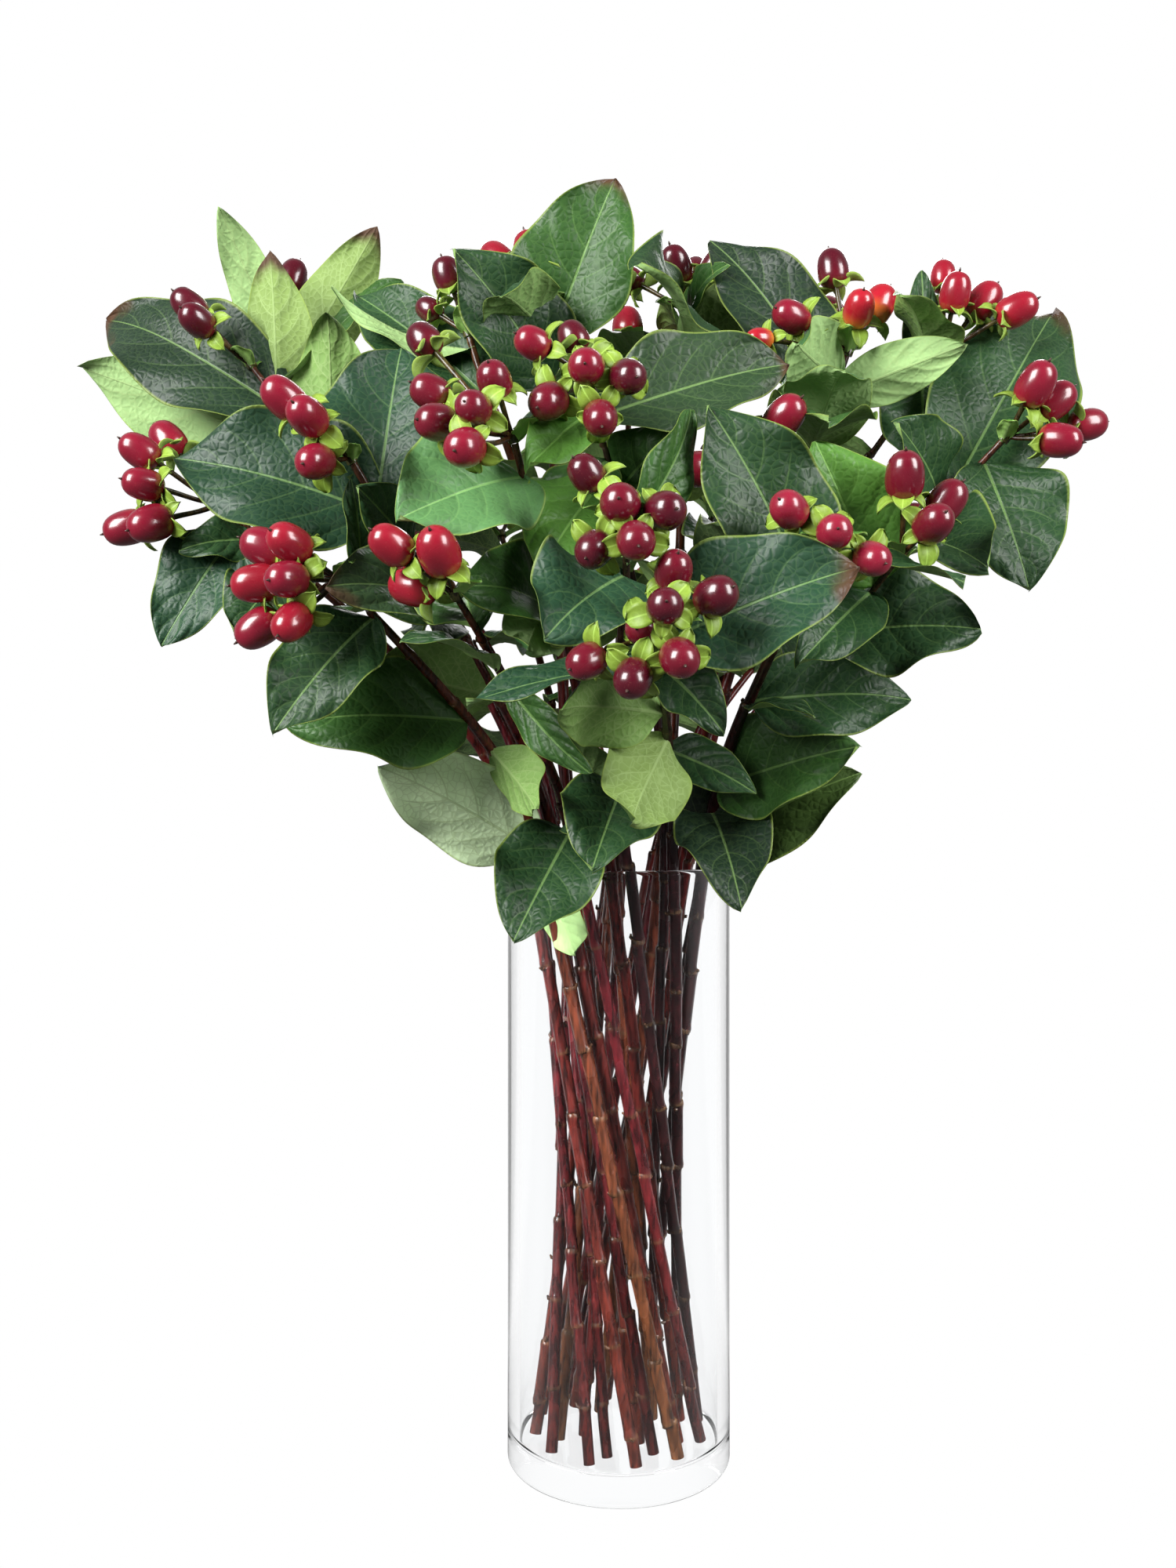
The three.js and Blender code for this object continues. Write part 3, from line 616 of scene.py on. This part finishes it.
BARKS = {  # foot and top of a cane
    "wine": ((0.112, 0.013, 0.009), (0.245, 0.017, 0.029)),
    "rust": ((0.15, 0.025, 0.012), (0.235, 0.022, 0.021)),
    "ochre": ((0.215, 0.074, 0.023), (0.25, 0.044, 0.023)),
    # the darkest bark, for the canes on the right: their dark red deepened by painted shade of the side away
    # from the key lamp
    "shaded_plum": ((0.05, 0.01, 0.009), (0.045, 0.006, 0.009)),
}
STUB = {"size": (0.6, 1.9), "radius": 0.6}  # mm, what is left of a side shoot or leaf stalk
STUB_SHARES = (1.2, 1, 0.5)  # of its radius, from foot to end
STUB_END = (0.16, 0.075, 0.030, 1.0)
SCAR = (0.30, 0.18, 0.08)
GREEN_TOP = (0.12, 0.10, 0.03)
SHADED_SIDE = 11  # mm right of the middle, beyond which the canes take the darkest bark, deepened by painted shade

shoot_tree, start, given = new_tree("round_shoots", {"Sides": 10, "Bark": None})
shoots, rest = of_kind(start, given, SHOOT)
lines = start.node("GeometryNodeMeshToCurve", {"Mesh": shoots})
section = start.node("GeometryNodeCurvePrimitiveCircle", {"Resolution": given.also("Sides"), "Radius": 1.0})
skin = start.node("GeometryNodeCurveToMesh", {
    "Curve": lines, "Profile Curve": section, "Scale": named(start, "thickness", "FLOAT"), "Fill Caps": True,
})
end_tree(start, smooth_and_set(start, skin, given.also("Bark")), rest)

bark_material, start = material_tree("hypericum_bark")
place = start.node("ShaderNodeTexCoord", output="Object")
streaks = noise(start, place * (1.0, 1.0, 0.12), 900.0)
patches = noise(start, place * (1.0, 1.0, 0.5), 130.0)
depth = (0.13 + 0.44 * streaks.ramp(0.3, 0.7)) * (0.6 + 0.55 * patches.ramp(0.3, 0.7))
tone = carried(start, "bark", "Color") * depth
relief = start.node("ShaderNodeBump", {"Height": streaks, "Strength": 0.35, "Distance": 0.3 * MM})
end_material(start, {
    "Base Color": tone, "Roughness": 0.2 + 0.14 * patches, "Normal": relief, "Specular IOR Level": 0.4,
})


def blend(first, second, share):
    return tuple(a + (b - a) * share for a, b in zip(first[:3], second[:3])) + (1.0,)


def bark_of(stem):
    """The stems right of the middle get the darkest bark, a dark red deepened by painted shade of the side of
    the bunch away from the key lamp; the others take their reds and browns in turn.
    """
    if stem.on_ruling(WAIST_HEIGHT).x > SHADED_SIDE:
        return BARKS["shaded_plum"]
    return BARKS[("wine", "rust", "ochre", "rust", "wine")[stem.index % 5]]


def cane_shoot(stem, growth):
    """The shoot from its cut foot to its tip, with its joints and the stubs on them."""
    steps, rise = CANE_STEPS, NECK_HEIGHT - FOOT_HEIGHT
    coarse = [stem.on_ruling(FOOT_HEIGHT + rise * k / steps) for k in range(steps)]
    coarse += [stem.on_bend(k / steps) for k in range(steps + 1)]
    run = np.cumsum([0.0] + [(b - a).length for a, b in zip(coarse, coarse[1:])])
    total, neck_run = run[-1], run[steps]
    joints = [stem.draw(FIRST_JOINT, "joint")]
    while joints[-1] < total - LAST_GAP:
        joints.append(joints[-1] + stem.draw(JOINT_GAP, "joint", len(joints)))
    spots = set(np.arange(0, total, RING_GAP)) | {total}
    for joint in joints:
        spots |= {joint + d for d in JOINT_RINGS if 0 < joint + d < total}
    spots = sorted(spots)
    thick = stem.draw(CANE["radius"], "cane")
    foot, top = bark_of(stem)
    places, radii, barks = [], [], []
    for spot in spots:
        place = Vector([np.interp(spot, run, [p[i] for p in coarse]) for i in range(3)])
        share = max(0.0, (spot - neck_run) / (total - neck_run))
        off = min(abs(spot - joint) for joint in joints)
        segment = sum(spot > joint for joint in joints)
        sway = KINK["reach"] * math.sin(KINK["turn"] * segment + stem.index)
        sway *= min(1.0, spot / KINK["ease"], (total - spot) / KINK["ease"])
        places.append(place + Vector((sway, KINK["slant"] * sway, 0)))
        swell = 1 + JOINT_SWELL * math.exp(-(off / JOINT_HALF) ** 2)
        radii.append(thick * (1 - (1 - CANE["tip_share"]) * share) * swell)
        colour = blend(blend(foot, top, min(1.0, spot / RED_FROM)), GREEN_TOP, PALE_SHARE * share**3)
        barks.append(blend(colour, SCAR, PALE_SHARE * math.exp(-(off / SCAR_HALF) ** 2)))
    growth.shoot(places, radii, barks)
    for number, joint in enumerate(joints[:-1]):
        k = spots.index(min(spots, key=lambda spot: abs(spot - joint)))
        axis = (places[k + 1] - places[k - 1]).normalized()
        spin = math.tau * stem.chance("stub side", number)
        side = Quaternion(axis, spin) @ axis.orthogonal().normalized()
        size = stem.draw(STUB["size"], "stub size", number)
        ends = [
            places[k] + side * (radii[k] * 0.5),
            places[k] + side * (radii[k] + 0.4 * size) + axis * 0.3 * size,
            places[k] + side * (radii[k] + 0.7 * size) + axis * size,
        ]
        growth.shoot(ends, [share * STUB["radius"] for share in STUB_SHARES], [barks[k], barks[k], STUB_END])


# ---- Leaves ----
# Opposite, stalkless, egg-shaped leaves, smooth and dark above and pale below, quilted between side veins
# that arch towards the tip, with a fine yellow rim. Some are folded, some turned to show the pale side.
LEAF = {"root": 0.6, "thickness": 0.8, "narrow": 0.56, "fullest": 0.8, "paper": 0.45, "stalk": 0.25}
BLADE_FORM = {"fold": (6, 22), "bow": (0.02, 0.09), "ripple": (-1.2, 1.2), "curl": (-0.15, 0.5)}
NARROW_TWIST, WIDE_TWIST, TWIST_START = 7.5, 10.6, 1.87  # radians along a blade
WAVE = {"rate": 13.0, "slant": 1.5, "depth": 0.15, "phase": 6.3}
CREASE, QUILT, RIB_HALF, RIB_DEPTH, RIB_PAPER = 0.8, 0.6, 1.1, 0.45, 0.25  # mm
NOD_FROM, THIN_EDGE = 0.55, 0.6  # shares of the length, and of the thickness that the edge lacks
SHADE, SHADE_SPAN = 0.85, 0.35  # how much darker or lighter than its tone a leaf is
PAIRS = {
    "gap": 26, "far_gap": 40, "below_tip": 7, "lowest": 212, "turn": 45, "sway": 15, "rise": (0, 25),
    "droop": 9, "length": (42, 56), "width": (0.5, 0.64), "lean": 0.7, "apart": 0.6, "alike": 0.3,
}
GIVE_TURNS, GIVE_LENGTHS = (0, 9, 18, 27, 36), (1, 0.8)
GIVE_WAYS = ((1, 0), (-1, 0), (0, 1), (0, -1), (1, 1), (-1, 1), (1, -1), (-1, -1))
FOUND = 0.05  # mm: how near a leaf's tip lies to a corner of its solid
SIDE_VEINS, VEIN_ARCH, VEIN_SWEEP = 5.2, 0.33, 1.25
TONES = {  # upper side, under side
    "blue": ((0.015, 0.049, 0.023), (0.19, 0.32, 0.11)),
    "deep": ((0.015, 0.047, 0.015), (0.19, 0.32, 0.1)),
    "dark": ((0.011, 0.027, 0.013), (0.1, 0.17, 0.06)),
    "mid": ((0.03, 0.088, 0.017), (0.18, 0.31, 0.08)),
    "fresh": ((0.07, 0.185, 0.026), (0.26, 0.45, 0.11)),
    "light": ((0.07, 0.17, 0.056), (0.28, 0.45, 0.17)),
    "olive": ((0.045, 0.085, 0.019), (0.18, 0.27, 0.07)),
    "pale": ((0.03, 0.09, 0.025), (0.3, 0.47, 0.18)),
    "aged": ((0.022, 0.048, 0.019), (0.16, 0.24, 0.08)),
    # the next tone's under side is painted far paler than a leaf's own: painted light, for lamps shining
    # through the leaf from behind
    "silver": ((0.03, 0.09, 0.025), (0.62, 0.8, 0.48)),
}
RULE_TONES = ("deep", "mid", "dark", "deep", "olive", "deep")
VEINS_ABOVE, VEINS_BELOW = (0.55, 0.18, 0.08), (0.5, 0.5, 0.35)  # midrib, side veins, net between them
NET_SCALE, CLOUD_SCALE, GRAIN_SCALE = 400.0, 55.0, 700.0  # per metre
FROM_BELOW = (-0.1, 0.1)  # across the thickness, from the under to the upper side
VEIN_PALE = (0.17, 0.27, 0.08, 1)
VEIN_UNDER = (0.32, 0.44, 0.17, 1)
RIM_YELLOW = (0.25, 0.34, 0.06, 1)
BROWN = (0.075, 0.038, 0.020, 1)


def outline_of(u, taper, bluntness=0.75):
    """The width of a blade along its length, as a share of its greatest."""
    return ((u ** taper) * math.pi).sine().most(0.0001) ** bluntness


def arched_veins(u, edge):
    """0 along the side veins of a blade and 1 midway between them."""
    return ((u - VEIN_ARCH * edge ** VEIN_SWEEP) * (SIDE_VEINS * math.pi)).sine().size()


blade_tree, start, given = new_tree("leaf_blades", {"Lengthwise": 37, "Crosswise": 19, "Leaf": None})
roots, rest = of_kind(start, given, BLADE)
sheet = start.node("GeometryNodeMeshCube", {
    "Size": (1, 2, 1), "Vertices X": given.also("Lengthwise"), "Vertices Y": given.also("Crosswise"),
    "Vertices Z": 2,
})
x, y, z = start.node("GeometryNodeInputPosition").split()
marked = carrying(start, sheet, "blade", start.vector(x + 0.5, y * (0.5 * y * y - 1.5), z * 2.0))
placed = start.node("GeometryNodeInstanceOnPoints", {"Points": roots, "Instance": marked, "Scale": (0, 0, 0)})
real = start.node("GeometryNodeRealizeInstances", {"Geometry": placed})
u, v, face = named(start, "blade").split()
length, half_width, twist_rate = named(start, "measure").split()
fold, bow, ripple = named(start, "form").split()
taper, curl, phase = named(start, "habit").split()
edge = v.size()
out = v * (half_width * outline_of(u, taper) + LEAF["stalk"] * MM)
crease = (out * out + (CREASE * MM) ** 2) ** 0.5 - CREASE * MM
twist = -v * ripple * (u * twist_rate - TWIST_START).cosine()
wave = (u * WAVE["rate"] + phase + v * WAVE["slant"]).sine() * edge ** 3 * half_width * WAVE["depth"]
between = arched_veins(u, edge)
quilt = between * edge.ramp(0.03, 0.3) * edge.ramp(1.0, 0.7) * u.ramp(0.0, 0.12) * u.ramp(1.0, 0.85)
rib = 1.0 / (1.0 + (out / (RIB_HALF * MM)) ** 2) ** 2 * u.ramp(1.0, 0.6)
nod = (u - NOD_FROM).most(0.0) ** 2 * curl
rise = fold * crease + twist + wave + bow * length * 4.0 * u * (1.0 - u) - nod * length
rise = rise + quilt * (QUILT * MM) - rib * (RIB_DEPTH * MM - RIB_PAPER * MM * face)
rise = rise + face * (0.5 * LEAF["paper"] * MM) * (1.0 - THIN_EDGE * edge ** 4)
spot = (
    named(start, "along") * (LEAF["root"] * MM + (length - LEAF["root"] * MM) * u)
    + named(start, "side") * out
    + named(start, "normal") * rise
)
bent = start.node("GeometryNodeSetPosition", {"Geometry": real, "Offset": spot})
end_tree(start, smooth_and_set(start, bent, given.also("Leaf")), rest)


def veins_of(parts, strengths):
    midrib, side_vein, net = (part * strength for part, strength in zip(parts, strengths))
    return midrib.most(side_vein).most(net)


leaf_material, start = material_tree("hypericum_leaf")
place = start.node("ShaderNodeTexCoord", output="Object")
u, v, face = carried(start, "blade").split()
length, half_width, _ = carried(start, "measure").split()
upper, under = carried(start, "upper", "Color"), carried(start, "under", "Color")
worn = upper.also("Alpha")
edge = v.size()
off = edge * outline_of(u, LEAF["fullest"]) * half_width / MM
midrib = (off / (1.2 - 0.8 * u)).ramp(0.7, 0.25)
between = arched_veins(u, edge)
side_vein = between.ramp(0.16, 0.03) * edge.ramp(0.95, 0.5)
cells = start.node("ShaderNodeTexVoronoi", {
    "Vector": place, "Scale": NET_SCALE,
}, {"feature": "DISTANCE_TO_EDGE"})
net = cells.ramp(0.1, 0.0) * edge.ramp(1.0, 0.8)
clouds, grain = noise(start, place, CLOUD_SCALE), noise(start, place, GRAIN_SCALE)
lines = (midrib, side_vein, net)
shade = upper * ((0.72 + 0.56 * clouds) * (0.85 + 0.3 * grain))
top = veins_of(lines, VEINS_ABOVE).tint(shade, shade * 1.2 + VEIN_PALE[:3])
below = veins_of(lines, VEINS_BELOW).tint(under * (0.75 + 0.5 * clouds), VEIN_UNDER)
side = face.ramp(*FROM_BELOW).tint(below, top)
rimmed = (edge.ramp(0.945, 0.985) * u.ramp(0.03, 0.1) * 0.55).tint(side, RIM_YELLOW)
dead = worn * (u + (clouds - 0.5) * 0.35 + edge * 0.04).ramp(0.88, 0.99)
final = dead.tint(rimmed, BROWN)
dimples = cells.ramp(0.0, 0.35)
height = between.ramp(0.0, 0.8) * 0.8 + dimples * 0.55 - midrib * 0.8 + grain * 0.12
relief = start.node("ShaderNodeBump", {
    "Height": height * face * (length / (30 * MM)).least(1.0) ** 2, "Strength": 0.55, "Distance": 0.4 * MM,
})
end_material(start, {
    "Base Color": final, "Roughness": 0.64 - 0.24 * face.ramp(*FROM_BELOW) + 0.1 * clouds,
    "Normal": relief, "Specular IOR Level": 0.3,
})


def axes_of(root, tip, facing):
    along = (tip - root).normalized()
    normal = (facing - along * facing.dot(along)).normalized()
    return along, normal, along.cross(normal)


def wanted_leaves(stem):
    """The given leaves, then opposite pairs by rule from the tip down where no given leaf points that way."""
    wanted = []
    for height, x, y, z, width, tone, *facing in stem.leaves:
        faced = Vector(FACING[facing[0] if facing else "front"])
        wanted.append((stem.at_height(height), Vector((x, y, z)), faced, width, tone))
    given = [(root, (tip - root).normalized()) for root, tip, *_ in wanted]
    outward = Vector((stem.tip.x, stem.tip.y, 0)).normalized()
    gap = PAIRS["far_gap" if stem.far else "gap"]
    heights = np.arange(stem.tip.z - PAIRS["below_tip"], PAIRS["lowest"], -gap)
    for pair, height in enumerate(heights):
        root = stem.at_height(height)
        sway = stem.draw((-PAIRS["sway"], PAIRS["sway"]), "sway", pair)
        for half in (0, 1):
            leaf = 2 * pair + half
            turn = math.atan2(outward.y, outward.x)
            turn += math.radians(PAIRS["turn"] + 90 * pair + 180 * half + sway)
            rise = math.radians(stem.draw(PAIRS["rise"], "rise", leaf) - PAIRS["droop"] * pair)
            away = Vector((math.cos(turn), math.sin(turn), 0)) * math.cos(rise) + UP * math.sin(rise)
            near = [way for place, way in given if abs(place.z - height) < PAIRS["apart"] * gap]
            if any(way.dot(away) > PAIRS["alike"] for way in near):
                continue
            tip = root + away * stem.draw(PAIRS["length"], "reach", leaf)
            tone = RULE_TONES[int(len(RULE_TONES) * stem.chance("rule tone", leaf))]
            width = stem.draw(PAIRS["width"], "width", pair)
            wanted.append((root, tip, outward * PAIRS["lean"] + UP, width, tone))
    return wanted


def found_tip(corners, root, tip, facing):
    """Where the tip of a wanted leaf ended in its solid, turned or shortened as it had to be, or None."""
    along, normal, side = axes_of(root, tip, facing)
    length = (tip - root).length
    for share in GIVE_LENGTHS:
        for size in GIVE_TURNS:
            for yaw, pitch in GIVE_WAYS if size else ((0, 0),):
                lean = math.tan(math.radians(size))
                away = (along + side * (yaw * lean) + normal * (pitch * lean)).normalized()
                reached = root + away * (share * length)
                upright = axes_of(root, reached, facing)[1]
                for lift in (0.5, -0.5):
                    corner = np.array(reached + upright * (lift * LEAF["thickness"]))
                    if np.abs(corners - corner).max(axis=1).min() < FOUND:
                        return reached
    return None


def add_blade(growth, root, axes, length, width, form, habit, upper, under, worn=0.0):
    along, normal, side = axes
    twist = NARROW_TWIST if width < LEAF["narrow"] else WIDE_TWIST
    growth.point(
        root, kind=BLADE, along=along, side=side, normal=normal,
        measure=(length * MM, width * length / 2 * MM, twist), form=form,
        habit=(LEAF["fullest"], *habit), upper=(*upper, worn), under=(*under, 1.0),
    )


def add_leaf(growth, stem, number, root, tip, facing, width, tone):
    fold, bow, ripple, curl = (stem.draw(span, kind, number) for kind, span in BLADE_FORM.items())
    vary = SHADE + SHADE_SPAN * stem.chance("shade", number)
    tone, _, worn = tone.partition(" ")
    upper, under = TONES[tone]
    add_blade(
        growth, root, axes_of(root, tip, facing), (tip - root).length, width,
        (math.tan(math.radians(fold)), bow, ripple * MM),
        (curl, WAVE["phase"] * stem.chance("phase", number)),
        [vary * c for c in upper], under, 1.0 if worn or tone == "aged" else 0.0,
    )


for stem in stems:
    name = f"leafy_stem_{stem.index + 1:02d}"
    corners = np.array([v.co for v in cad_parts[name].data.vertices]) / MM
    growth = Growth()
    cane_shoot(stem, growth)
    for number, (root, tip, facing, width, tone) in enumerate(wanted_leaves(stem)):
        reached = found_tip(corners, root, tip, facing)
        if reached is not None:
            add_leaf(growth, stem, number, root, reached, facing, width, tone)
    piece = growth.grown(name, [
        (shoot_tree, {"Sides": 12, "Bark": bark_material}), (blade_tree, {"Leaf": leaf_material}),
    ])
    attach(piece, "root")
    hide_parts(name)


# ---- Berry heads ----
# At the tip of each stem a short knob carries the stalks of a few berries. A berry is a glossy egg-shaped
# capsule with a dark stub at its end, sitting in a star of five yellow-green sepals.
SEAT = {"radius": 1.9, "taper": 0.8, "length": 3.2, "first": 0.5, "next": 0.07, "clear": 0.3}
BERRY_FORM = {  # mm, and how far the sides bulge and narrow to the tip
    "slender": (5.6, 14.8), "round": (5.2, 12.2), "vary": (0.9, 1.06), "barrel": 0.24, "taper": 0.08,
}
ROUND_BERRIED = (7, 8, 10, 11, 12, 13)  # the numbers of the stems whose berries are rounder
STALK = {"radius": 0.75, "end": 0.95, "sag": 0.06}
FAR_HEAD = {"out": 15, "up": 15, "tilt": 7, "spread": 13, "sizes": (0.88, 1.08)}
SEPAL = {
    "start": 0.8, "length": 8.4, "half_width": 2.9, "cup": 1.5, "reflex": 2.4, "paper": 0.4, "claw": 0.15,
    "hollow": 0.9, "fullest": 1.2, "blunt": 0.5,
}
STAR = {"share": 0.92, "unlike": 0.2, "tilt": 0.25}  # five sepals, no two quite alike
BRACT = {"length": (10, 15), "width": 0.5, "rise": 0.6, "form": (0.25, 0.05, 0.0), "curl": 0.4, "lean": 0.4}
TIP_STUB = {"Vertices": 8, "Radius Top": 0.03, "Radius Bottom": 0.09, "Depth": 0.16}
SKINS = {  # by the calyx, by the tip
    "dark": ((0.12, 0.004, 0.012), (0.07, 0.003, 0.01)),
    "burgundy": ((0.19, 0.006, 0.017), (0.13, 0.0045, 0.015)),
    "crimson": ((0.26, 0.007, 0.02), (0.19, 0.006, 0.02)),
    "red": ((0.33, 0.009, 0.019), (0.25, 0.007, 0.019)),
    "rose": ((0.29, 0.012, 0.03), (0.23, 0.01, 0.028)),
    "flame": ((0.7, 0.2, 0.025), (0.34, 0.008, 0.018)),
}
SKINS_OF = (  # of each stem's berries in turn
    "dark", "crimson", "red crimson", "crimson", "dark", "red",
    "burgundy burgundy crimson burgundy burgundy dark", "dark", "red", "burgundy crimson dark",
    "dark burgundy", "burgundy dark", "rose", "burgundy", "crimson", "red",
    "dark crimson flame flame crimson burgundy flame", "dark", "crimson",
    "crimson", "burgundy", "crimson", "dark", "burgundy", "red",
)
SEPAL_UPPER, SEPAL_UNDER = (0.20, 0.31, 0.035), (0.24, 0.36, 0.06)
SPECK, STUB_BROWN = (0.75, 0.25, 0.18, 1), (0.045, 0.016, 0.008, 1)
STALK_RED, STALK_GREEN = (0.13, 0.022, 0.014), (0.17, 0.15, 0.04)

berry_tree, start, given = new_tree("berries_in_calyx", {
    "Around": 26, "Along": 17, "Skin": None, "Leaf": None,
})
middles, rest = of_kind(start, given, BERRY)
radius, half, size = named(start, "measure").split()

ball = start.node("GeometryNodeMeshUVSphere", {
    "Segments": given.also("Around"), "Rings": given.also("Along"), "Radius": 1.0,
})
x, y, z = start.node("GeometryNodeInputPosition").split()
wide = (1.0 + BERRY_FORM["barrel"] * z * z) * (1.0 - BERRY_FORM["taper"] * z)
shaped = start.node("GeometryNodeSetPosition", {
    "Geometry": ball, "Position": start.vector(x * wide, y * wide, z),
})
stub = start.node("GeometryNodeMeshCone", TIP_STUB, {"fill_type": "NGON"})
stub = start.node("GeometryNodeTransform", {"Geometry": stub, "Translation": (0, 0, 1.0)})
body = carrying(start, together(start, shaped, stub), "skin", start.node("GeometryNodeInputPosition"))
bodies = start.node("GeometryNodeInstanceOnPoints", {
    "Points": middles, "Instance": body, "Rotation": named(start, "turn"),
    "Scale": start.vector(radius, radius, half),
})

sheet = start.node("GeometryNodeMeshCube", {
    "Size": (1, 2, 1), "Vertices X": 10, "Vertices Y": 7, "Vertices Z": 2,
})
u, v, face = (start.node("GeometryNodeInputPosition") * (1.0, 1.0, 2.0)).split()
u = u + 0.5
marked = carrying(start, sheet, "blade", start.vector(u, v, face))
across = outline_of(u, SEPAL["fullest"], SEPAL["blunt"]) * (SEPAL["half_width"] * MM)
across = v * (across + SEPAL["claw"] * MM)
lift = (u * 2.6).sine() * (SEPAL["cup"] * MM) - u ** 3 * (SEPAL["reflex"] * MM)
lift = lift + v * v * (SEPAL["hollow"] * MM) * u.ramp(0.0, 0.5) + face * (0.5 * SEPAL["paper"] * MM)
sepal = start.node("GeometryNodeSetPosition", {
    "Geometry": marked,
    "Position": start.vector((SEPAL["start"] + SEPAL["length"] * u) * MM, across, lift),
})
spokes = start.node("GeometryNodeMeshCircle", {"Vertices": 5, "Radius": 0.00001})
fifth = start.node("GeometryNodeInputIndex") * (math.tau / 5)
share = STAR["share"] + (fifth * 2.0).sine() * STAR["unlike"]
tilt = STAR["tilt"] * (fifth * 3.0).cosine()
calyx = start.node("GeometryNodeInstanceOnPoints", {
    "Points": spokes, "Instance": sepal, "Rotation": start.vector(0.0, tilt, fifth),
    "Scale": start.vector(share, share, 1.0),
})
calyx = start.node("GeometryNodeRealizeInstances", {"Geometry": calyx})
seats = start.node("GeometryNodeSetPosition", {
    "Geometry": middles, "Offset": named(start, "along") * (-1.0 * half),
})
stars = start.node("GeometryNodeInstanceOnPoints", {
    "Points": seats, "Instance": calyx, "Rotation": named(start, "turn"),
    "Scale": start.vector(size, size, size),
})
end_tree(
    start, smooth_and_set(start, bodies, given.also("Skin")),
    smooth_and_set(start, stars, given.also("Leaf")), rest,
)

berry_material, start = material_tree("hypericum_berry")
place = start.node("ShaderNodeTexCoord", output="Object")
_, _, z = carried(start, "skin").split()
low, high = carried(start, "low_skin", "Color"), carried(start, "high_skin", "Color")
clouds = noise(start, place, 160.0)
specks = start.node("ShaderNodeTexVoronoi", {"Vector": place, "Scale": 1500.0})
on_stub = z.ramp(0.995, 1.005)
flesh = (z + (clouds - 0.5) * 0.6).ramp(-1.0, 0.1).tint(low, high) * (0.75 + 0.5 * clouds)
flesh = on_stub.tint((specks.ramp(0.22, 0.05) * 0.12).tint(flesh, SPECK), STUB_BROWN)
relief = start.node("ShaderNodeBump", {"Height": clouds, "Strength": 0.35, "Distance": 0.3 * MM})
end_material(start, {
    "Base Color": flesh, "Roughness": 0.2 + 0.14 * clouds + 0.5 * on_stub, "Normal": relief,
    "Coat Weight": 0.4, "Coat Roughness": 0.1,
})


def berry_places(stem):
    """The middles and sizes of a stem's berries: as given, or a loose ring of them on the far side."""
    if not stem.far:
        return [(Vector(place[:3]), place[3] if len(place) > 3 else 1.0) for place in stem.berries]
    outward = Vector((stem.tip.x, stem.tip.y, 0)).normalized()
    across = UP.cross(outward)
    places = []
    for k in range(stem.berries):
        angle = k / stem.berries * math.tau + stem.chance("head")
        away = outward * (FAR_HEAD["out"] + FAR_HEAD["tilt"] * math.cos(angle))
        rise = UP * (FAR_HEAD["up"] - FAR_HEAD["tilt"] * math.cos(angle))
        place = stem.tip + away + rise + across * (FAR_HEAD["spread"] * math.sin(angle))
        places.append((place, stem.draw(FAR_HEAD["sizes"], "far berry", k)))
    return places


def add_bracts(growth, stem, seat):
    """The last pair of leaves, small ones, under the stalks of the berries."""
    across = stem.heading.cross(UP).normalized()
    for half, way in enumerate((across, -across)):
        along = (way + stem.heading * BRACT["rise"]).normalized()
        add_blade(
            growth, seat, axes_of(seat, seat + along, UP + stem.heading * BRACT["lean"]),
            stem.draw(BRACT["length"], "bract", half), BRACT["width"], BRACT["form"],
            (BRACT["curl"], WAVE["phase"] * stem.chance("bract phase", half)), *TONES["fresh"],
        )


def add_berry(growth, root, middle, size, skin, spin, form):
    axis = (middle - root).normalized()
    radius, half = size * form[0], size * form[1] / 2
    base = middle - axis * (half - 0.3)
    sag = STALK["sag"] * (base - root).length
    steps = [0, 0.15, 0.3, 0.45, 0.6, 0.75, 0.88, 1.0]
    growth.shoot(
        [root.lerp(base, t) - UP * (sag * math.sin(math.pi * t) * (1 - t)) for t in steps],
        [STALK["radius"] + (STALK["end"] - STALK["radius"]) * t**2 for t in steps],
        [blend(STALK_RED, STALK_GREEN, t**1.5) for t in steps],
    )
    turn = Quaternion(axis, spin) @ axis.to_track_quat("Z", "Y")
    low, high = SKINS[skin]
    growth.point(
        middle, kind=BERRY, along=axis, turn=turn.to_euler(),
        measure=(radius * MM, half * MM, size),
        low_skin=(*low, 1.0), high_skin=(*high, 1.0), upper=(*SEPAL_UPPER, 0.0), under=(*SEPAL_UNDER, 1.0),
    )


for stem in stems:
    name = f"berry_head_{stem.index + 1:02d}"
    growth = Growth()
    foot = stem.tip + stem.heading * SEAT["clear"]
    top = stem.tip + stem.heading * (SEAT["clear"] + SEAT["length"])
    growth.shoot(
        [foot, foot.lerp(top, 0.5), top], [SEAT["radius"], SEAT["radius"], SEAT["taper"] * SEAT["radius"]],
        [(*STALK_GREEN, 1.0)] * 3,
    )
    add_bracts(growth, stem, foot)
    skins = SKINS_OF[stem.index].split()
    for k, (middle, size) in enumerate(berry_places(stem)):
        root = foot.lerp(top, SEAT["first"] + SEAT["next"] * k)
        spin = math.tau * stem.chance("spin", k)
        form = BERRY_FORM["round" if stem.index + 1 in ROUND_BERRIED else "slender"]
        form = [stem.draw(BERRY_FORM["vary"], "berry", k) * part for part in form]
        add_berry(growth, root, middle, size, skins[k % len(skins)], spin, form)
    piece = growth.grown(name, [
        (shoot_tree, {"Sides": 8, "Bark": bark_material}),
        (blade_tree, {"Lengthwise": 17, "Crosswise": 9, "Leaf": leaf_material}),
        (berry_tree, {"Skin": berry_material, "Leaf": leaf_material}),
    ])
    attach(piece, "root")
    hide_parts(name)
